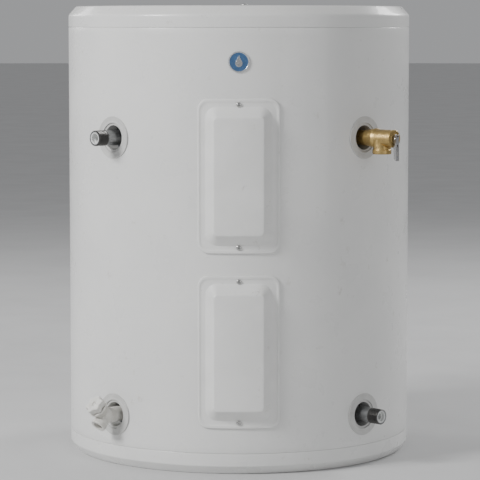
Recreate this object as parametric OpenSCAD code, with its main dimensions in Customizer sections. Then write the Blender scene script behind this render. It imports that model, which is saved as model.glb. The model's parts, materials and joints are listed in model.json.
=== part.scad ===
// Electric storage water heater, low and wide, with side pipe connections.
// The origin is the centre of the base, +Z is up and -Y is the front.

/* [Cabinet] */
// Outside diameter of the jacket
jacket_d = 616; // [510:1:740]
// Height from the floor to the flat of the top cap
heater_h = 800.6; // [790:0.1:1200]
// Thickness of the jacket, cap and pan sheet
sheet_t = 1; // [0.6:0.1:1.6]
// Height of the seam between the base pan and the jacket
base_seam_z = 36.7; // [30:0.1:50]
// How far the foot of the base pan slopes inwards
base_slope_in = 11; // [4:0.1:16]
// How high that slope reaches
base_slope_h = 14.4; // [6:0.1:20]
// Depth of the top cap, from its flat to its seam
cap_h = 37.8; // [30:0.1:50]
// How far the edge of the cap slopes inwards
cap_slope_in = 12; // [4:0.1:20]
// How far down the cap that slope reaches
cap_slope_h = 15.8; // [6:0.1:22]
// Open gap at each sheet seam
seam_gap = 0.6; // [0.2:0.1:1.5]
// How far the pan and the cap reach inside the jacket
lap_h = 10; // [6:1:16]

/* [Tank] */
// Insulation thickness between the tank and the jacket
foam_t = 40; // [32:1:60]
// Thickness of the tank wall and heads
tank_t = 2; // [1.5:0.1:3.5]
// Drop from the cap's flat to the top of the tank's straight wall
tank_drop = 110.6; // [105:0.1:160]
// Rise of the domed top head
top_head_rise = 54; // [30:1:56]
// Height of the rim of the inward bottom head
bottom_head_z = 46; // [40:1:52]
// Rise of the inward bottom head
bottom_head_rise = 44; // [25:1:48]
// Diameter of the anode rod
anode_d = 21; // [15:1:25]
// Length of the anode rod
anode_l = 520; // [300:10:540]

/* [Pipe ports] */
// Angle of each port from the front
port_angle = 45; // [38:1:70]
// Height of the lower pair of ports
low_port_z = 90.3; // [84:0.1:110]
// Drop from the cap's flat to the upper pair of ports
high_port_drop = 226.9; // [150:0.1:260]
// Outside diameter of the pipe nipples
nipple_d = 26.67; // [21.3:0.01:33.4]
// Bore of the pipe nipples
nipple_bore = 21; // [15:0.1:26]
// How far the nipples stand out of the jacket
nipple_out = 42; // [30:1:60]
// Length of the pipe thread at the end of a nipple
nipple_thread_l = 22.3; // [14:0.1:26]
// Diameter of the flat trim ring at each port
trim_d = 74; // [66:1:90]
// Diameter at the mouth of the trim ring's recess
trim_mouth_d = 53.6; // [50:0.1:60]
// Diameter of the welded pipe spuds
spud_d = 41.6; // [38:0.1:46]

/* [Access covers] */
// Drop from the cap's flat to the middle of the upper cover
high_cover_drop = 288.3; // [288:0.1:320]
// Height of the middle of the lower cover
low_cover_z = 211.9; // [211:0.1:222]
// Width of a cover
cover_w = 140.2; // [136:0.1:160]
// Height of a cover
cover_h = 263; // [255:0.5:270]
// Corner radius of a cover
cover_r = 18.7; // [8:0.1:24]
// Height of a cover's flange above the jacket
cover_edge = 3.2; // [2.4:0.1:5]
// Width of the raised panel at its foot
panel_foot_w = 111.2; // [106:0.1:116]
// Height of the raised panel at its foot
panel_foot_h = 232.6; // [226:0.1:234]
// How far the sides of the raised panel slope in
panel_slope = 12.2; // [6:0.1:16]
// How far the ends of the raised panel slope in
panel_end_slope = 15.7; // [6:0.1:20]
// Rise of the raised panel above the flange
panel_rise = 15.6; // [6:0.1:20]
// Wall of a cover
cover_t = 1.5; // [1:0.1:2.5]

/* [Controls] */
// Length of a heating element inside the tank
element_l = 300; // [200:10:320]
// Sheath diameter of a heating element
element_rod_d = 8; // [6:0.5:9]
// Screw thread diameter of a heating element
element_thread_d = 33.4; // [30:0.1:36]
// Diameter of a thermostat's dial
dial_d = 16; // [10:1:18]
// Diameter of the reset button
button_d = 8; // [5:0.5:10]
// How far the reset button presses in
button_travel = 1.5; // [0.5:0.1:2.5]

/* [Relief valve] */
// Outside diameter of the valve's round body
relief_d = 30.5; // [29:0.1:34]
// How far that body ends out of the jacket
relief_out = 68; // [66:0.5:80]
// Distance from the jacket to the middle of the outlet
relief_outlet_at = 39.5; // [37:0.1:42]
// Bore of the outlet's tapped socket
relief_outlet_bore = 24; // [20:0.1:25]
// How far the outlet reaches below the valve's axis
relief_outlet_drop = 27; // [24:0.5:40]
// How far the lever lifts the stem
relief_lift = 4.8; // [2:0.1:5]
// How far the lever turns, in degrees
lever_turn = 85; // [60:1:88]
// Length of the lever below its pivot
lever_l = 37.5; // [30:0.5:50]
// Width of the lever
lever_w = 7.5; // [7.2:0.1:9]

/* [Drain valve] */
// Distance from the jacket to the middle of the valve
drain_at = 21; // [20:0.5:30]
// Upward tilt of the knob, in degrees
drain_stem_tilt = 42; // [40:1:50]
// Downward tilt of the hose outlet, in degrees
drain_outlet_tilt = 45; // [40:1:50]
// Diameter over the knob's lobes
knob_d = 34.7; // [28:0.1:36]
// Number of lobes on the knob
knob_lobes = 6; // [5:1:9]
// Outside diameter of the hose thread
hose_thread_d = 26.98; // [24:0.01:27.4]
// How far the outlet reaches from the valve's middle
hose_reach = 24; // [22:0.5:32]
// How far the washer lifts off its seat
drain_lift = 4; // [2:0.5:4]

/* [Clearances] */
// Gap between a turning or sliding shaft and its hole
run_gap = 0.05; // [0.02:0.01:0.1]
// Gap between fixed pieces that fit into each other
joint_gap = 0.2; // [0.1:0.05:0.4]
// Gap between the jacket and a cover that lifts off
lift_gap = 0.3; // [0.2:0.05:0.6]

/* [Hidden] */
$fn = 96;
// Facets of a jacket-sized curve that a thin piece lies on
fine = 720;
wire_r = 1.3;
jacket_r = jacket_d / 2;
inner_r = jacket_r - sheet_t;
lap_r = inner_r - joint_gap;
foam_r = lap_r - sheet_t - joint_gap;
tank_r = inner_r - foam_t;
cap_seam_z = heater_h - cap_h;
tank_top_z = heater_h - tank_drop;
head_r = tank_r - tank_t - joint_gap;
cut = jacket_d;

// Ports, each as its angle from the front and its height
high_port_z = heater_h - high_port_drop;
hot_port = [-port_angle, high_port_z];
relief_port = [port_angle, high_port_z];
drain_port = [-port_angle, low_port_z];
cold_port = [port_angle, low_port_z];
PORTS = [hot_port, relief_port, drain_port, cold_port];
nipple_r = nipple_d / 2;
thread_gap = run_gap;
waist_step = 0.6;
spud_depth = 6;
spud_proud = 16;
spud_face = tank_r + spud_proud;
nipple_in = tank_r - spud_depth + 1;
nipple_end = jacket_r + nipple_out;
liner_t = 2.4;
liner_in = spud_face + 2;
dip_tube_r = nipple_bore / 2 - 1;
dip_tube_t = 1.5;
trim_face = jacket_r + 1;
trim_bore_r = spud_d / 2 + 0.4;
trim_sleeve_r = trim_bore_r + 4.8;
trim_recess = 2.5;

// Access covers and the control bays behind them
high_cover_z = heater_h - high_cover_drop;
COVERS = [high_cover_z, low_cover_z];
cover_in_r = jacket_r + lift_gap;
cover_out_r = jacket_r + cover_edge;
panel_out_r = cover_out_r + panel_rise;
cover_screw_z = cover_h / 2 - 10.4;
screw_r = 1.9;
opening_w = panel_foot_w - 3;
opening_h = panel_foot_h - 14;
bay_w = opening_w + 12;
bay_h = opening_h + 12;
bay_t = 2;
pad_w = panel_foot_w - 2 * panel_slope - 7;
pad_h = panel_foot_h - 2 * panel_end_slope - 9;
pad_back = jacket_r - 4;

// Controls, as heights from the middle of their cover and distances from the tank's axis
element_dz = -68;
thermostat_dz = -8;
limit_dz = 50;
element_spud_r = element_thread_d / 2 + 9;
element_spud_face = tank_r + 7;
gasket_t = 2;
bracket_t = 1.2;
bracket_face = element_spud_face + gasket_t + 0.1;
plug_flange = bracket_face + bracket_t + 0.1;
plug_hex = plug_flange + 3;
plug_end = plug_hex + 7.5;
terminal_end = plug_end + 9;
rod_r = element_rod_d / 2;
rod_x = rod_r + 6;
case_w = 40;
case_back = tank_r + 1;
case_face = case_back + 20;
case_h = 64;
limit_h = 44;
dial_shaft_r = 2.5;
dial_back = case_face + 3.2;
ear_w = 6;
arm_w = 8;
shield_w = 60;
shield_face = tank_r + 34;

// Junction box, conduit hole and anode, as places on the cap
box_x = 9.4;
box_y = -50;
box_open_w = 64;
box_open_l = 70;
conduit_r = 11.1;
conduit_x = box_x + box_open_w / 2 + 24.6;
box_t = 1.2;
box_min_x = box_x - box_open_w / 2 - 5;
box_max_x = conduit_x + conduit_r + 5;
box_l = box_open_l + 6;
box_depth = 38;
box_top = heater_h - sheet_t - 0.1;
box_cover_t = 1.2;
box_cover_w = box_open_w + 20;
box_cover_l = box_open_l + 30;
box_screw_dy = box_open_l / 2 + 7;
box_screw_l = 9;
wire_way_r = 9;
wire_z = heater_h - 21;
wire_s = tank_r + 20;
anode_x = -105;
anode_y = 75;
anode_spud_r = 17;
anode_thread_r = 13.3;
anode_well_r = 20;
anode_hole_r = 22;

// Relief valve, as distances from the jacket along the valve
relief_r = relief_d / 2;
relief_seat = 30;
relief_chamber_r = 12;
relief_cap_back = relief_out - 10;
relief_stem_r = 2.4;
lever_pivot = relief_out + 3.2;
lever_pin_r = 1.25;
lever_t = 1;
lever_back = 4;
lever_gap = 0.25;

// Drain valve, as distances from its middle along the stem and the outlet
neck_r = 13.8;
neck_end = 19.5;
chamber_r = 11;
seat_at = 2;
seat_r = 5;
washer_t = 2.9;
drain_stem_r = 4;
gland_r = 5.6;
bonnet_end = neck_end + 4;
bonnet_r = knob_d / 2 - 0.4;
bonnet_plug_end = neck_end - 7.5;
knob_back = bonnet_end + 1.5;
knob_face = knob_back + 11;
oring_at = 14.25;
oring_r = 0.8;

white_enamel = "white";
galvanised = "lightgray";

// ---------- helpers ----------

// Places children at an angle from the front, with +Z outwards, +X to the right and +Y up
module on_side(angle, z, s = 0) {
  rotate([0, 0, angle]) translate([0, -s, z]) rotate([90, 0, 0]) children();
}

module at_port(port, s = 0) {
  on_side(port[0], port[1], s) children();
}

module tube(r_out, r_in, h) {
  difference() {
    cylinder(r = r_out, h = h);
    translate([0, 0, -1]) cylinder(r = r_in, h = h + 2);
  }
}

module rounded_rect(w, h, r) {
  square([w - 2 * r, h], center = true);
  square([w, h - 2 * r], center = true);
  for (x = [-1, 1], y = [-1, 1])
    translate([x * (w / 2 - r), y * (h / 2 - r)]) circle(r);
}

// A slot with round ends along Y, as long as l from end to end
module slot(w, l) {
  square([w, l - w], center = true);
  for (side = [-1, 1]) translate([0, side * (l - w) / 2]) circle(w / 2);
}

// A block centred on the Z axis in X and Y, from z0 to z1
module slab(w, h, z0, z1) {
  translate([-w / 2, -h / 2, z0]) cube([w, h, z1 - z0]);
}

// Points of a shallow dome from its rim to its top
function dome(rim, rise, z, steps = 10) =
  let (ball = (rim * rim + rise * rise) / (2 * rise))
  [for (i = [0:steps])
    let (r = rim * (1 - i / steps))
    [r, z + sqrt(ball * ball - r * r) - ball + rise]];

function reversed(points) = [for (i = [len(points) - 1:-1:0]) points[i]];

// Height of the outside of the top head at a distance from the tank's axis
function top_head_z(r) =
  let (ball = (head_r * head_r + top_head_rise * top_head_rise) / (2 * top_head_rise))
  tank_top_z + sqrt(ball * ball - r * r) - ball + top_head_rise;

// Sweeps a round section with eight sides along a list of points
function unit(v) = v / norm(v);
function path_dir(p, i) =
  unit(p[min(i + 1, len(p) - 1)] - p[max(i - 1, 0)]);
function side_of(d) =
  abs(d.x) < 0.9 ? unit(cross(d, [1, 0, 0])) : unit(cross(d, [0, 1, 0]));

module sweep(points, r, sides = 8) {
  rings = [for (i = [0:len(points) - 1])
    let (d = path_dir(points, i), a = side_of(d), b = cross(d, a))
    for (k = [0:sides - 1])
      points[i] + r * (cos(360 * k / sides) * a + sin(360 * k / sides) * b)];
  last = (len(points) - 1) * sides;
  walls = [for (i = [0:len(points) - 2], k = [0:sides - 1])
    let (k2 = (k + 1) % sides)
    [i * sides + k, (i + 1) * sides + k, (i + 1) * sides + k2, i * sides + k2]];
  start = [for (k = [0:sides - 1]) k];
  end = [for (k = [sides - 1:-1:0]) last + k];
  polyhedron(rings, concat(walls, [start], [end]));
}

// ---------- cabinet ----------

module base_pan() {
  top = base_seam_z - seam_gap;
  bead_in = jacket_r * 0.55;
  bead_h = 3;
  color(white_enamel) rotate_extrude() polygon([
    [0, 0],
    [bead_in, 0],
    [bead_in + 3, bead_h],
    [bead_in + 15, bead_h],
    [bead_in + 18, 0],
    [jacket_r - base_slope_in, 0],
    [jacket_r, base_slope_h],
    [jacket_r, top],
    [lap_r, top],
    [lap_r, base_seam_z + lap_h],
    [lap_r - sheet_t, base_seam_z + lap_h],
    [lap_r - sheet_t, top - sheet_t],
    [inner_r, top - sheet_t],
    [inner_r, base_slope_h + sheet_t / 3],
    [jacket_r - base_slope_in - sheet_t / 2, sheet_t],
    [bead_in + 18.5, sheet_t],
    [bead_in + 15.5, bead_h + sheet_t],
    [bead_in + 2.5, bead_h + sheet_t],
    [bead_in - 0.5, sheet_t],
    [0, sheet_t]]);
}

module jacket() {
  color(white_enamel) difference() {
    translate([0, 0, base_seam_z]) tube(jacket_r, inner_r, cap_seam_z - base_seam_z);
    for (port = PORTS)
      at_port(port, inner_r - 20) cylinder(r = trim_sleeve_r + joint_gap, h = 40);
    for (z = COVERS) {
      on_side(0, z, inner_r - 20) linear_extrude(40) rounded_rect(opening_w, opening_h, 12);
      for (dz = [-1, 1])
        on_side(0, z + dz * cover_screw_z, inner_r - 20)
          cylinder(r = screw_r + run_gap, h = 40);
    }
  }
}

module top_cap() {
  bottom = cap_seam_z + seam_gap;
  color(white_enamel) difference() {
    rotate_extrude() polygon([
      [0, heater_h],
      [jacket_r - cap_slope_in - 3, heater_h],
      [jacket_r - cap_slope_in + 0.5, heater_h - 1],
      [jacket_r - 1.4, heater_h - cap_slope_h + 1.8],
      [jacket_r, heater_h - cap_slope_h - 1.5],
      [jacket_r, bottom],
      [lap_r, bottom],
      [lap_r, cap_seam_z - lap_h],
      [lap_r - sheet_t, cap_seam_z - lap_h],
      [lap_r - sheet_t, bottom + sheet_t],
      [inner_r, bottom + sheet_t],
      [inner_r, heater_h - cap_slope_h - 2.2],
      [inner_r - 1.3, heater_h - cap_slope_h + 1],
      [jacket_r - cap_slope_in - 0.4, heater_h - 1 - sheet_t],
      [jacket_r - cap_slope_in - 3.5, heater_h - sheet_t],
      [0, heater_h - sheet_t]]);
    translate([box_x, box_y, heater_h - 10])
      linear_extrude(20) rounded_rect(box_open_w, box_open_l, 6);
    translate([conduit_x, box_y, heater_h - 10]) cylinder(r = conduit_r, h = 20);
    translate([anode_x, anode_y, heater_h - 10]) cylinder(r = anode_hole_r, h = 20);
    for (dy = [-1, 1])
      translate([box_x, box_y + dy * box_screw_dy, heater_h - 10])
        cylinder(r = screw_r + run_gap, h = 20);
  }
}

module badge() {
  badge_r = 17.7;
  on_jacket = jacket_r + 0.02;
  color("steelblue") difference() {
    union() {
      on_side(0, heater_h - 95, jacket_r - 3) cylinder(r = badge_r, h = 4.6);
      on_side(0, heater_h - 95, jacket_r - 3) tube(badge_r, badge_r - 1.6, 5.2);
      on_side(0, heater_h - 97.5, jacket_r - 3) linear_extrude(5.2) {
        circle(6);
        polygon([[-5.4, 2.6], [5.4, 2.6], [0, 13]]);
      }
    }
    cylinder(r = on_jacket, h = 2 * heater_h, $fn = fine);
  }
}

// A flat ring on the jacket with a coned mouth and a sleeve that runs in to the spud
module port_trim_rings() {
  color(white_enamel) for (port = PORTS) at_port(port) difference() {
    union() {
      translate([0, 0, spud_face + joint_gap])
        cylinder(r = trim_sleeve_r, h = trim_face - spud_face - joint_gap);
      difference() {
        translate([0, 0, jacket_r - 6]) cylinder(r = trim_d / 2, h = trim_face - jacket_r + 6);
        rotate([90, 0, 0]) cylinder(r = jacket_r + 0.02, h = cut, center = true, $fn = fine);
      }
    }
    cylinder(r = trim_bore_r, h = jacket_r + 20);
    translate([0, 0, trim_face - trim_recess])
      cylinder(r1 = trim_bore_r, r2 = trim_mouth_d / 2, h = trim_recess + 0.01);
  }
}

// ---------- tank ----------

module tank_shell() {
  color(galvanised) difference() {
    translate([0, 0, sheet_t])
      tube(tank_r, tank_r - tank_t, tank_top_z - sheet_t);
    for (port = PORTS)
      at_port(port, tank_r - 20) cylinder(r = spud_d / 2 + run_gap, h = 40);
    for (z = COVERS)
      on_side(0, z + element_dz, tank_r - 20)
        cylinder(r = element_spud_r + run_gap, h = 40);
  }
}

module tank_top_head() {
  flange = 20;
  color(galvanised) difference() {
    rotate_extrude() polygon(concat(
      [[head_r, tank_top_z - flange]],
      dome(head_r, top_head_rise, tank_top_z),
      reversed(dome(head_r - tank_t, top_head_rise - tank_t, tank_top_z)),
      [[head_r - tank_t, tank_top_z - flange]]));
    translate([anode_x, anode_y, 0])
      cylinder(r = anode_spud_r + run_gap, h = heater_h);
  }
}

module tank_bottom_head() {
  flange = 18;
  color(galvanised) rotate_extrude() polygon(concat(
    [[head_r, bottom_head_z - flange]],
    dome(head_r, bottom_head_rise, bottom_head_z),
    reversed(dome(head_r - tank_t, bottom_head_rise - tank_t, bottom_head_z)),
    [[head_r - tank_t, bottom_head_z - flange]]));
}

module weld_spuds() {
  color(galvanised) {
    for (port = PORTS)
      at_port(port, tank_r - spud_depth)
        tube(spud_d / 2, nipple_r + thread_gap, spud_depth + spud_proud);
    for (z = COVERS)
      on_side(0, z + element_dz, tank_r - spud_depth)
        tube(element_spud_r, element_thread_d / 2 + thread_gap,
          element_spud_face - tank_r + spud_depth);
    anode_spud_z = top_head_z(norm([anode_x, anode_y]));
    translate([anode_x, anode_y, anode_spud_z - 8])
      tube(anode_spud_r, anode_thread_r + thread_gap, 20);
  }
}

// The space that a control bay takes, with a margin all round
module bay_space(z, margin) {
  on_side(0, z, tank_r - 30)
    slab(bay_w + 2 * margin, bay_h + 2 * margin, 0, foam_t + 60);
}

module wire_ways(r) {
  translate([0, box_y, wire_z]) rotate([90, 0, 0]) cylinder(r = r, h = wire_s + box_y);
  translate([0, -wire_s, high_cover_z])
    cylinder(r = r, h = wire_z - high_cover_z + r);
  translate([0, -wire_s, low_cover_z]) cylinder(r = r, h = high_cover_z - low_cover_z);
}

module foam_insulation() {
  bottom = base_slope_h + 6;
  top = heater_h - sheet_t - joint_gap;
  slope_r = jacket_r - cap_slope_in - 6;
  color("khaki") difference() {
    rotate_extrude() polygon(concat(
      [[tank_r + joint_gap, bottom]],
      [[foam_r, bottom], [foam_r, cap_seam_z + 2], [slope_r, top], [0, top]],
      [[0, tank_top_z + top_head_rise + joint_gap]],
      reversed(dome(head_r, top_head_rise, tank_top_z + joint_gap)),
      [[tank_r + joint_gap, tank_top_z + joint_gap]]));
    for (port = PORTS)
      at_port(port, tank_r - 10) cylinder(r = trim_sleeve_r + joint_gap, h = foam_t + 20);
    for (z = COVERS) {
      bay_space(z, joint_gap);
      for (dz = [-1, 1])
        on_side(0, z + dz * cover_screw_z, jacket_r - 20) cylinder(r = screw_r + 1, h = 20);
    }
    wire_ways(wire_way_r);
    translate([box_min_x - box_t - 9, box_y - box_l / 2 - box_t - 9, heater_h - box_screw_l])
      cube([box_max_x - box_min_x + 2 * box_t + 18, box_l + 2 * box_t + 18, 20]);
    translate([box_min_x - box_t - 1, box_y - box_l / 2 - box_t - 1, box_top - box_depth - 1])
      cube([box_max_x - box_min_x + 2 * box_t + 2, box_l + 2 * box_t + 2, box_depth + 20]);
    translate([anode_x, anode_y, tank_top_z]) cylinder(r = anode_well_r, h = 200);
    translate([anode_x, anode_y, heater_h - 12]) cylinder(r = anode_hole_r + 1, h = 20);
  }
}

// Rectangular sleeve that keeps the foam out of a control bay
module bay_liner(z) {
  intersection() {
    difference() {
      bay_space(z, 0);
      bay_space(z, -bay_t);
      translate([0, 0, -1]) cylinder(r = tank_r + lift_gap, h = 2 * heater_h);
      wire_ways(wire_way_r);
    }
    cylinder(r = inner_r - lift_gap, h = 2 * heater_h, $fn = fine);
  }
}

module bay_liners() {
  color("gainsboro") for (z = COVERS) bay_liner(z);
}

// ---------- pipes and anode ----------

// Pipe that is threaded at both ends, with a slightly waisted plain stretch between them
module nipple(port) {
  thread_start = nipple_end - nipple_thread_l;
  color("silver") at_port(port) difference() {
    union() {
      translate([0, 0, nipple_in]) cylinder(r = nipple_r, h = spud_face - nipple_in + 1);
      translate([0, 0, nipple_in])
        cylinder(r = nipple_r - waist_step, h = thread_start - nipple_in + 1);
      translate([0, 0, thread_start]) cylinder(r = nipple_r, h = nipple_thread_l);
    }
    cylinder(r = nipple_bore / 2, h = cut);
  }
}

module hot_outlet_nipple() { nipple(hot_port); }
module cold_inlet_nipple() { nipple(cold_port); }

// Plastic lining with a narrower insert set back from its mouth
module nipple_liners() {
  liner_r = nipple_bore / 2 - run_gap;
  insert_r = 6;
  color("whitesmoke") for (port = [hot_port, cold_port]) at_port(port, liner_in)
    difference() {
      cylinder(r = liner_r, h = nipple_end - liner_in - 0.5);
      translate([0, 0, -1]) cylinder(r = insert_r, h = cut);
      translate([0, 0, nipple_end - liner_in - 6])
        cylinder(r = liner_r - liner_t, h = cut);
      translate([0, 0, -1]) cylinder(r = liner_r - liner_t, h = 20);
    }
}

// Bends up inside the tank to draw water from near its top
module hot_pickup_tube() {
  bend = 18;
  turn_s = tank_r - 30;
  rise = tank_top_z - 12 - high_port_z - bend;
  color("whitesmoke") at_port(hot_port) {
    translate([0, 0, turn_s])
      tube(dip_tube_r, dip_tube_r - dip_tube_t, spud_face - turn_s);
    translate([0, bend, turn_s]) rotate([0, 90, 0]) rotate([0, 0, -90])
      rotate_extrude(angle = 90) translate([bend, 0]) difference() {
        circle(dip_tube_r);
        circle(dip_tube_r - dip_tube_t);
      }
    translate([0, bend, turn_s - bend]) rotate([-90, 0, 0])
      tube(dip_tube_r, dip_tube_r - dip_tube_t, rise);
  }
}

// Closed tube whose row of holes spreads the cold water along the bottom of the tank
module cold_diffuser_tube() {
  end_s = tank_r - 54;
  holes = 5;
  hole_pitch = 8;
  hole_r = 2.5;
  color("whitesmoke") at_port(cold_port, end_s) difference() {
    cylinder(r = dip_tube_r, h = spud_face - end_s);
    translate([0, 0, dip_tube_t])
      cylinder(r = dip_tube_r - dip_tube_t, h = spud_face - end_s);
    for (i = [0:holes - 1])
      translate([0, 0, 6 + i * hole_pitch]) rotate([-90, 0, 0])
        cylinder(r = hole_r, h = 2 * dip_tube_r);
  }
}

module anode_rod() {
  top = top_head_z(norm([anode_x, anode_y])) - 8;
  color("silver") translate([anode_x, anode_y, top - anode_l])
    cylinder(r = anode_d / 2, h = anode_l);
}

module anode_head() {
  thread_end = top_head_z(norm([anode_x, anode_y])) + 12;
  hex_r = 15.6;
  color("gray") translate([anode_x, anode_y, 0]) {
    translate([0, 0, thread_end - 20]) cylinder(r = anode_thread_r, h = 20);
    translate([0, 0, thread_end]) cylinder(r = hex_r, h = 2);
    translate([0, 0, thread_end + 2]) cylinder(r = hex_r, h = 8, $fn = 6);
  }
}

module anode_cover_plug() {
  skirt_r = anode_hole_r - joint_gap;
  color("whitesmoke") translate([anode_x, anode_y, heater_h]) {
    cylinder(r = anode_hole_r + 3, h = 1.8);
    translate([0, 0, -9]) tube(skirt_r, skirt_r - 1.5, 9);
  }
}

// ---------- junction box ----------

module junction_box() {
  inner_w = box_max_x - box_min_x;
  rim = 8;
  color(galvanised) difference() {
    union() {
      translate([box_min_x - box_t, box_y - box_l / 2 - box_t, box_top - box_depth])
        cube([inner_w + 2 * box_t, box_l + 2 * box_t, box_depth]);
      translate([box_min_x - box_t - rim, box_y - box_l / 2 - box_t - rim, box_top - box_t])
        cube([inner_w + 2 * (box_t + rim), box_l + 2 * (box_t + rim), box_t]);
    }
    translate([box_min_x, box_y - box_l / 2, box_top - box_depth + box_t])
      cube([inner_w, box_l, box_depth]);
    translate([0, box_y, wire_z]) rotate([90, 0, 0]) cylinder(r = wire_way_r - 0.5, h = box_l);
    for (dy = [-1, 1])
      translate([box_x, box_y + dy * box_screw_dy, box_top - box_depth])
        cylinder(r = screw_r + run_gap, h = box_depth + 1);
    translate([box_max_x - 12, box_y - 22, box_top - box_depth - 1])
      cylinder(r = screw_r + run_gap, h = 5);
  }
}

module junction_cover() {
  lip_w = box_open_w - 2;
  lip_l = box_open_l - 2;
  color(white_enamel) translate([box_x, box_y, 0]) difference() {
    union() {
      translate([0, 0, heater_h]) linear_extrude(box_cover_t)
        rounded_rect(box_cover_w, box_cover_l, 5);
      translate([0, 0, heater_h - 3]) linear_extrude(3.01) difference() {
        rounded_rect(lip_w, lip_l, 5);
        rounded_rect(lip_w - 3, lip_l - 3, 3.5);
      }
    }
    for (dy = [-1, 1])
      translate([0, dy * box_screw_dy, heater_h - 5]) cylinder(r = screw_r + run_gap, h = 20);
  }
}

// Round-headed screw with a cross recess, its head's seat at the origin
module cross_screw(shank_l, head_r = 4.25, head_h = 2.4) {
  slot_w = 1.1;
  slot_l = head_r * 1.3;
  slot_h = 1.2;
  translate([0, 0, -shank_l]) cylinder(r = screw_r, h = shank_l + 0.01);
  difference() {
    union() {
      cylinder(r = head_r, h = head_h / 2);
      translate([0, 0, head_h / 2]) cylinder(r1 = head_r, r2 = head_r * 0.72, h = head_h / 2);
    }
    for (a = [0, 90])
      rotate(a) translate([-slot_l / 2, -slot_w / 2, head_h - slot_h])
        cube([slot_l, slot_w, slot_h + 1]);
  }
}

module junction_cover_screws() {
  color("silver") for (dy = [-1, 1])
    translate([box_x, box_y + dy * box_screw_dy, heater_h + box_cover_t])
      cross_screw(box_screw_l, 5.5, 2.8);
}

module ground_screw() {
  color("green") translate([box_max_x - 12, box_y - 22, box_top - box_depth + box_t])
    cross_screw(box_t + 0.8, 4.5, 2.4);
}

// One wire from the junction box, over the tank and down into the upper bay
module supply_wire(x, x_end, z_end) {
  way_top = wire_z;
  end_s = case_face + 3;
  sweep([
    [x, box_y - 20, way_top - 4],
    [x, box_y - box_l / 2 - 6, way_top],
    [x, -wire_s + 22, way_top],
    [x, -wire_s + 9, way_top - 3],
    [x, -wire_s + 2, way_top - 11],
    [x, -wire_s, way_top - 24],
    [x, -wire_s, high_cover_z + bay_h / 2 + 4],
    [x_end, -end_s - 4, z_end + 16],
    [x_end, -end_s - 3, z_end + 6]], wire_r);
}

// One wire from the upper thermostat down to the lower one
module link_wire(x, x_end, z_start, z_end) {
  end_s = case_face + 3;
  sweep([
    [x_end, -end_s - 3, z_start - 6],
    [x_end * 1.6, -end_s - 3, z_start - 20],
    [x_end * 1.6, -end_s, high_cover_z + element_dz - 18],
    [x, -wire_s, high_cover_z - bay_h / 2 - 3],
    [x, -wire_s, low_cover_z + bay_h / 2 + 3],
    [x_end, -end_s - 3, z_end + 20],
    [x_end, -end_s - 3, z_end + 6]], wire_r);
}

module wire_harness() {
  terminal_x = 14;
  limit_z = high_cover_z + limit_dz + limit_h / 2 - 8;
  stat_z = high_cover_z + thermostat_dz - case_h / 2 + 10;
  low_z = low_cover_z + thermostat_dz + case_h / 2 - 8;
  color("firebrick") for (side = [-1, 1]) {
    supply_wire(side * 4, side * terminal_x, limit_z);
    link_wire(side * 4, side * terminal_x, stat_z, low_z);
  }
}

// ---------- heating elements and thermostats ----------

module element_plug(z) {
  color("silver") on_side(0, z) difference() {
    union() {
      translate([0, 0, tank_r - spud_depth])
        cylinder(r = element_thread_d / 2, h = plug_flange - tank_r + spud_depth);
      translate([0, 0, plug_flange]) cylinder(r = element_spud_r - 4, h = plug_hex - plug_flange);
      translate([0, 0, plug_hex]) cylinder(r = element_spud_r - 4.2, h = plug_end - plug_hex, $fn = 6);
    }
    for (side = [-1, 1])
      translate([side * rod_x, 0, tank_r - spud_depth - 1]) cylinder(r = rod_r + run_gap, h = 60);
  }
}

// Hairpin heating rod: two straight legs and a half-round return bend
module element_rod(z) {
  bend_s = tank_r - element_l;
  color("dimgray") on_side(0, z) {
    for (side = [-1, 1])
      translate([side * rod_x, 0, bend_s]) cylinder(r = rod_r, h = plug_end - bend_s);
    translate([0, 0, bend_s]) rotate([90, 0, 0]) rotate([0, 0, 180])
      rotate_extrude(angle = 180) translate([rod_x, 0]) circle(rod_r);
  }
}

module element_terminals(z) {
  color("darkslategray") on_side(0, z) {
    translate([0, 0, plug_end + 0.02]) linear_extrude(terminal_end - plug_end - 3)
      rounded_rect(34, 22, 4);
    for (side = [-1, 1])
      translate([side * 9, 0, terminal_end - 3.02]) cylinder(r = 4, h = 3);
  }
}

module upper_element_plug() { element_plug(high_cover_z + element_dz); }
module upper_element_rod() { element_rod(high_cover_z + element_dz); }
module upper_element_terminals() { element_terminals(high_cover_z + element_dz); }
module lower_element_plug() { element_plug(low_cover_z + element_dz); }
module lower_element_rod() { element_rod(low_cover_z + element_dz); }
module lower_element_terminals() { element_terminals(low_cover_z + element_dz); }

module element_gaskets() {
  color("black") for (z = COVERS) on_side(0, z + element_dz, element_spud_face)
    tube(element_spud_r - 3, element_thread_d / 2 + joint_gap, gasket_t);
}

// Plate clamped under the element, with two arms that press on the thermostat's ears
module thermostat_brackets() {
  arm_x = case_w / 2 + 0.8;
  color("silver") for (z = COVERS) on_side(0, z, bracket_face) difference() {
    union() {
      translate([0, element_dz, 0]) slab(2 * (arm_x + arm_w), 50, 0, bracket_t);
      for (side = [-1, 1])
        translate([side * (arm_x + arm_w / 2), (element_dz + thermostat_dz + 20) / 2, 0])
          slab(arm_w, thermostat_dz + 20 - element_dz, 0, bracket_t);
    }
    translate([0, element_dz, -1])
      cylinder(r = element_thread_d / 2 + joint_gap, h = bracket_t + 2);
  }
}

module thermostat_case(dz, h) {
  translate([0, dz, case_back]) linear_extrude(case_face - case_back)
    rounded_rect(case_w, h, 2);
}

module dial_socket() {
  boss_r = dial_shaft_r + 3;
  difference() {
    translate([0, thermostat_dz, case_face - 1]) cylinder(r = boss_r, h = 4);
    translate([0, thermostat_dz, case_face - 12]) cylinder(r = dial_shaft_r + run_gap, h = 40);
  }
}

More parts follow.
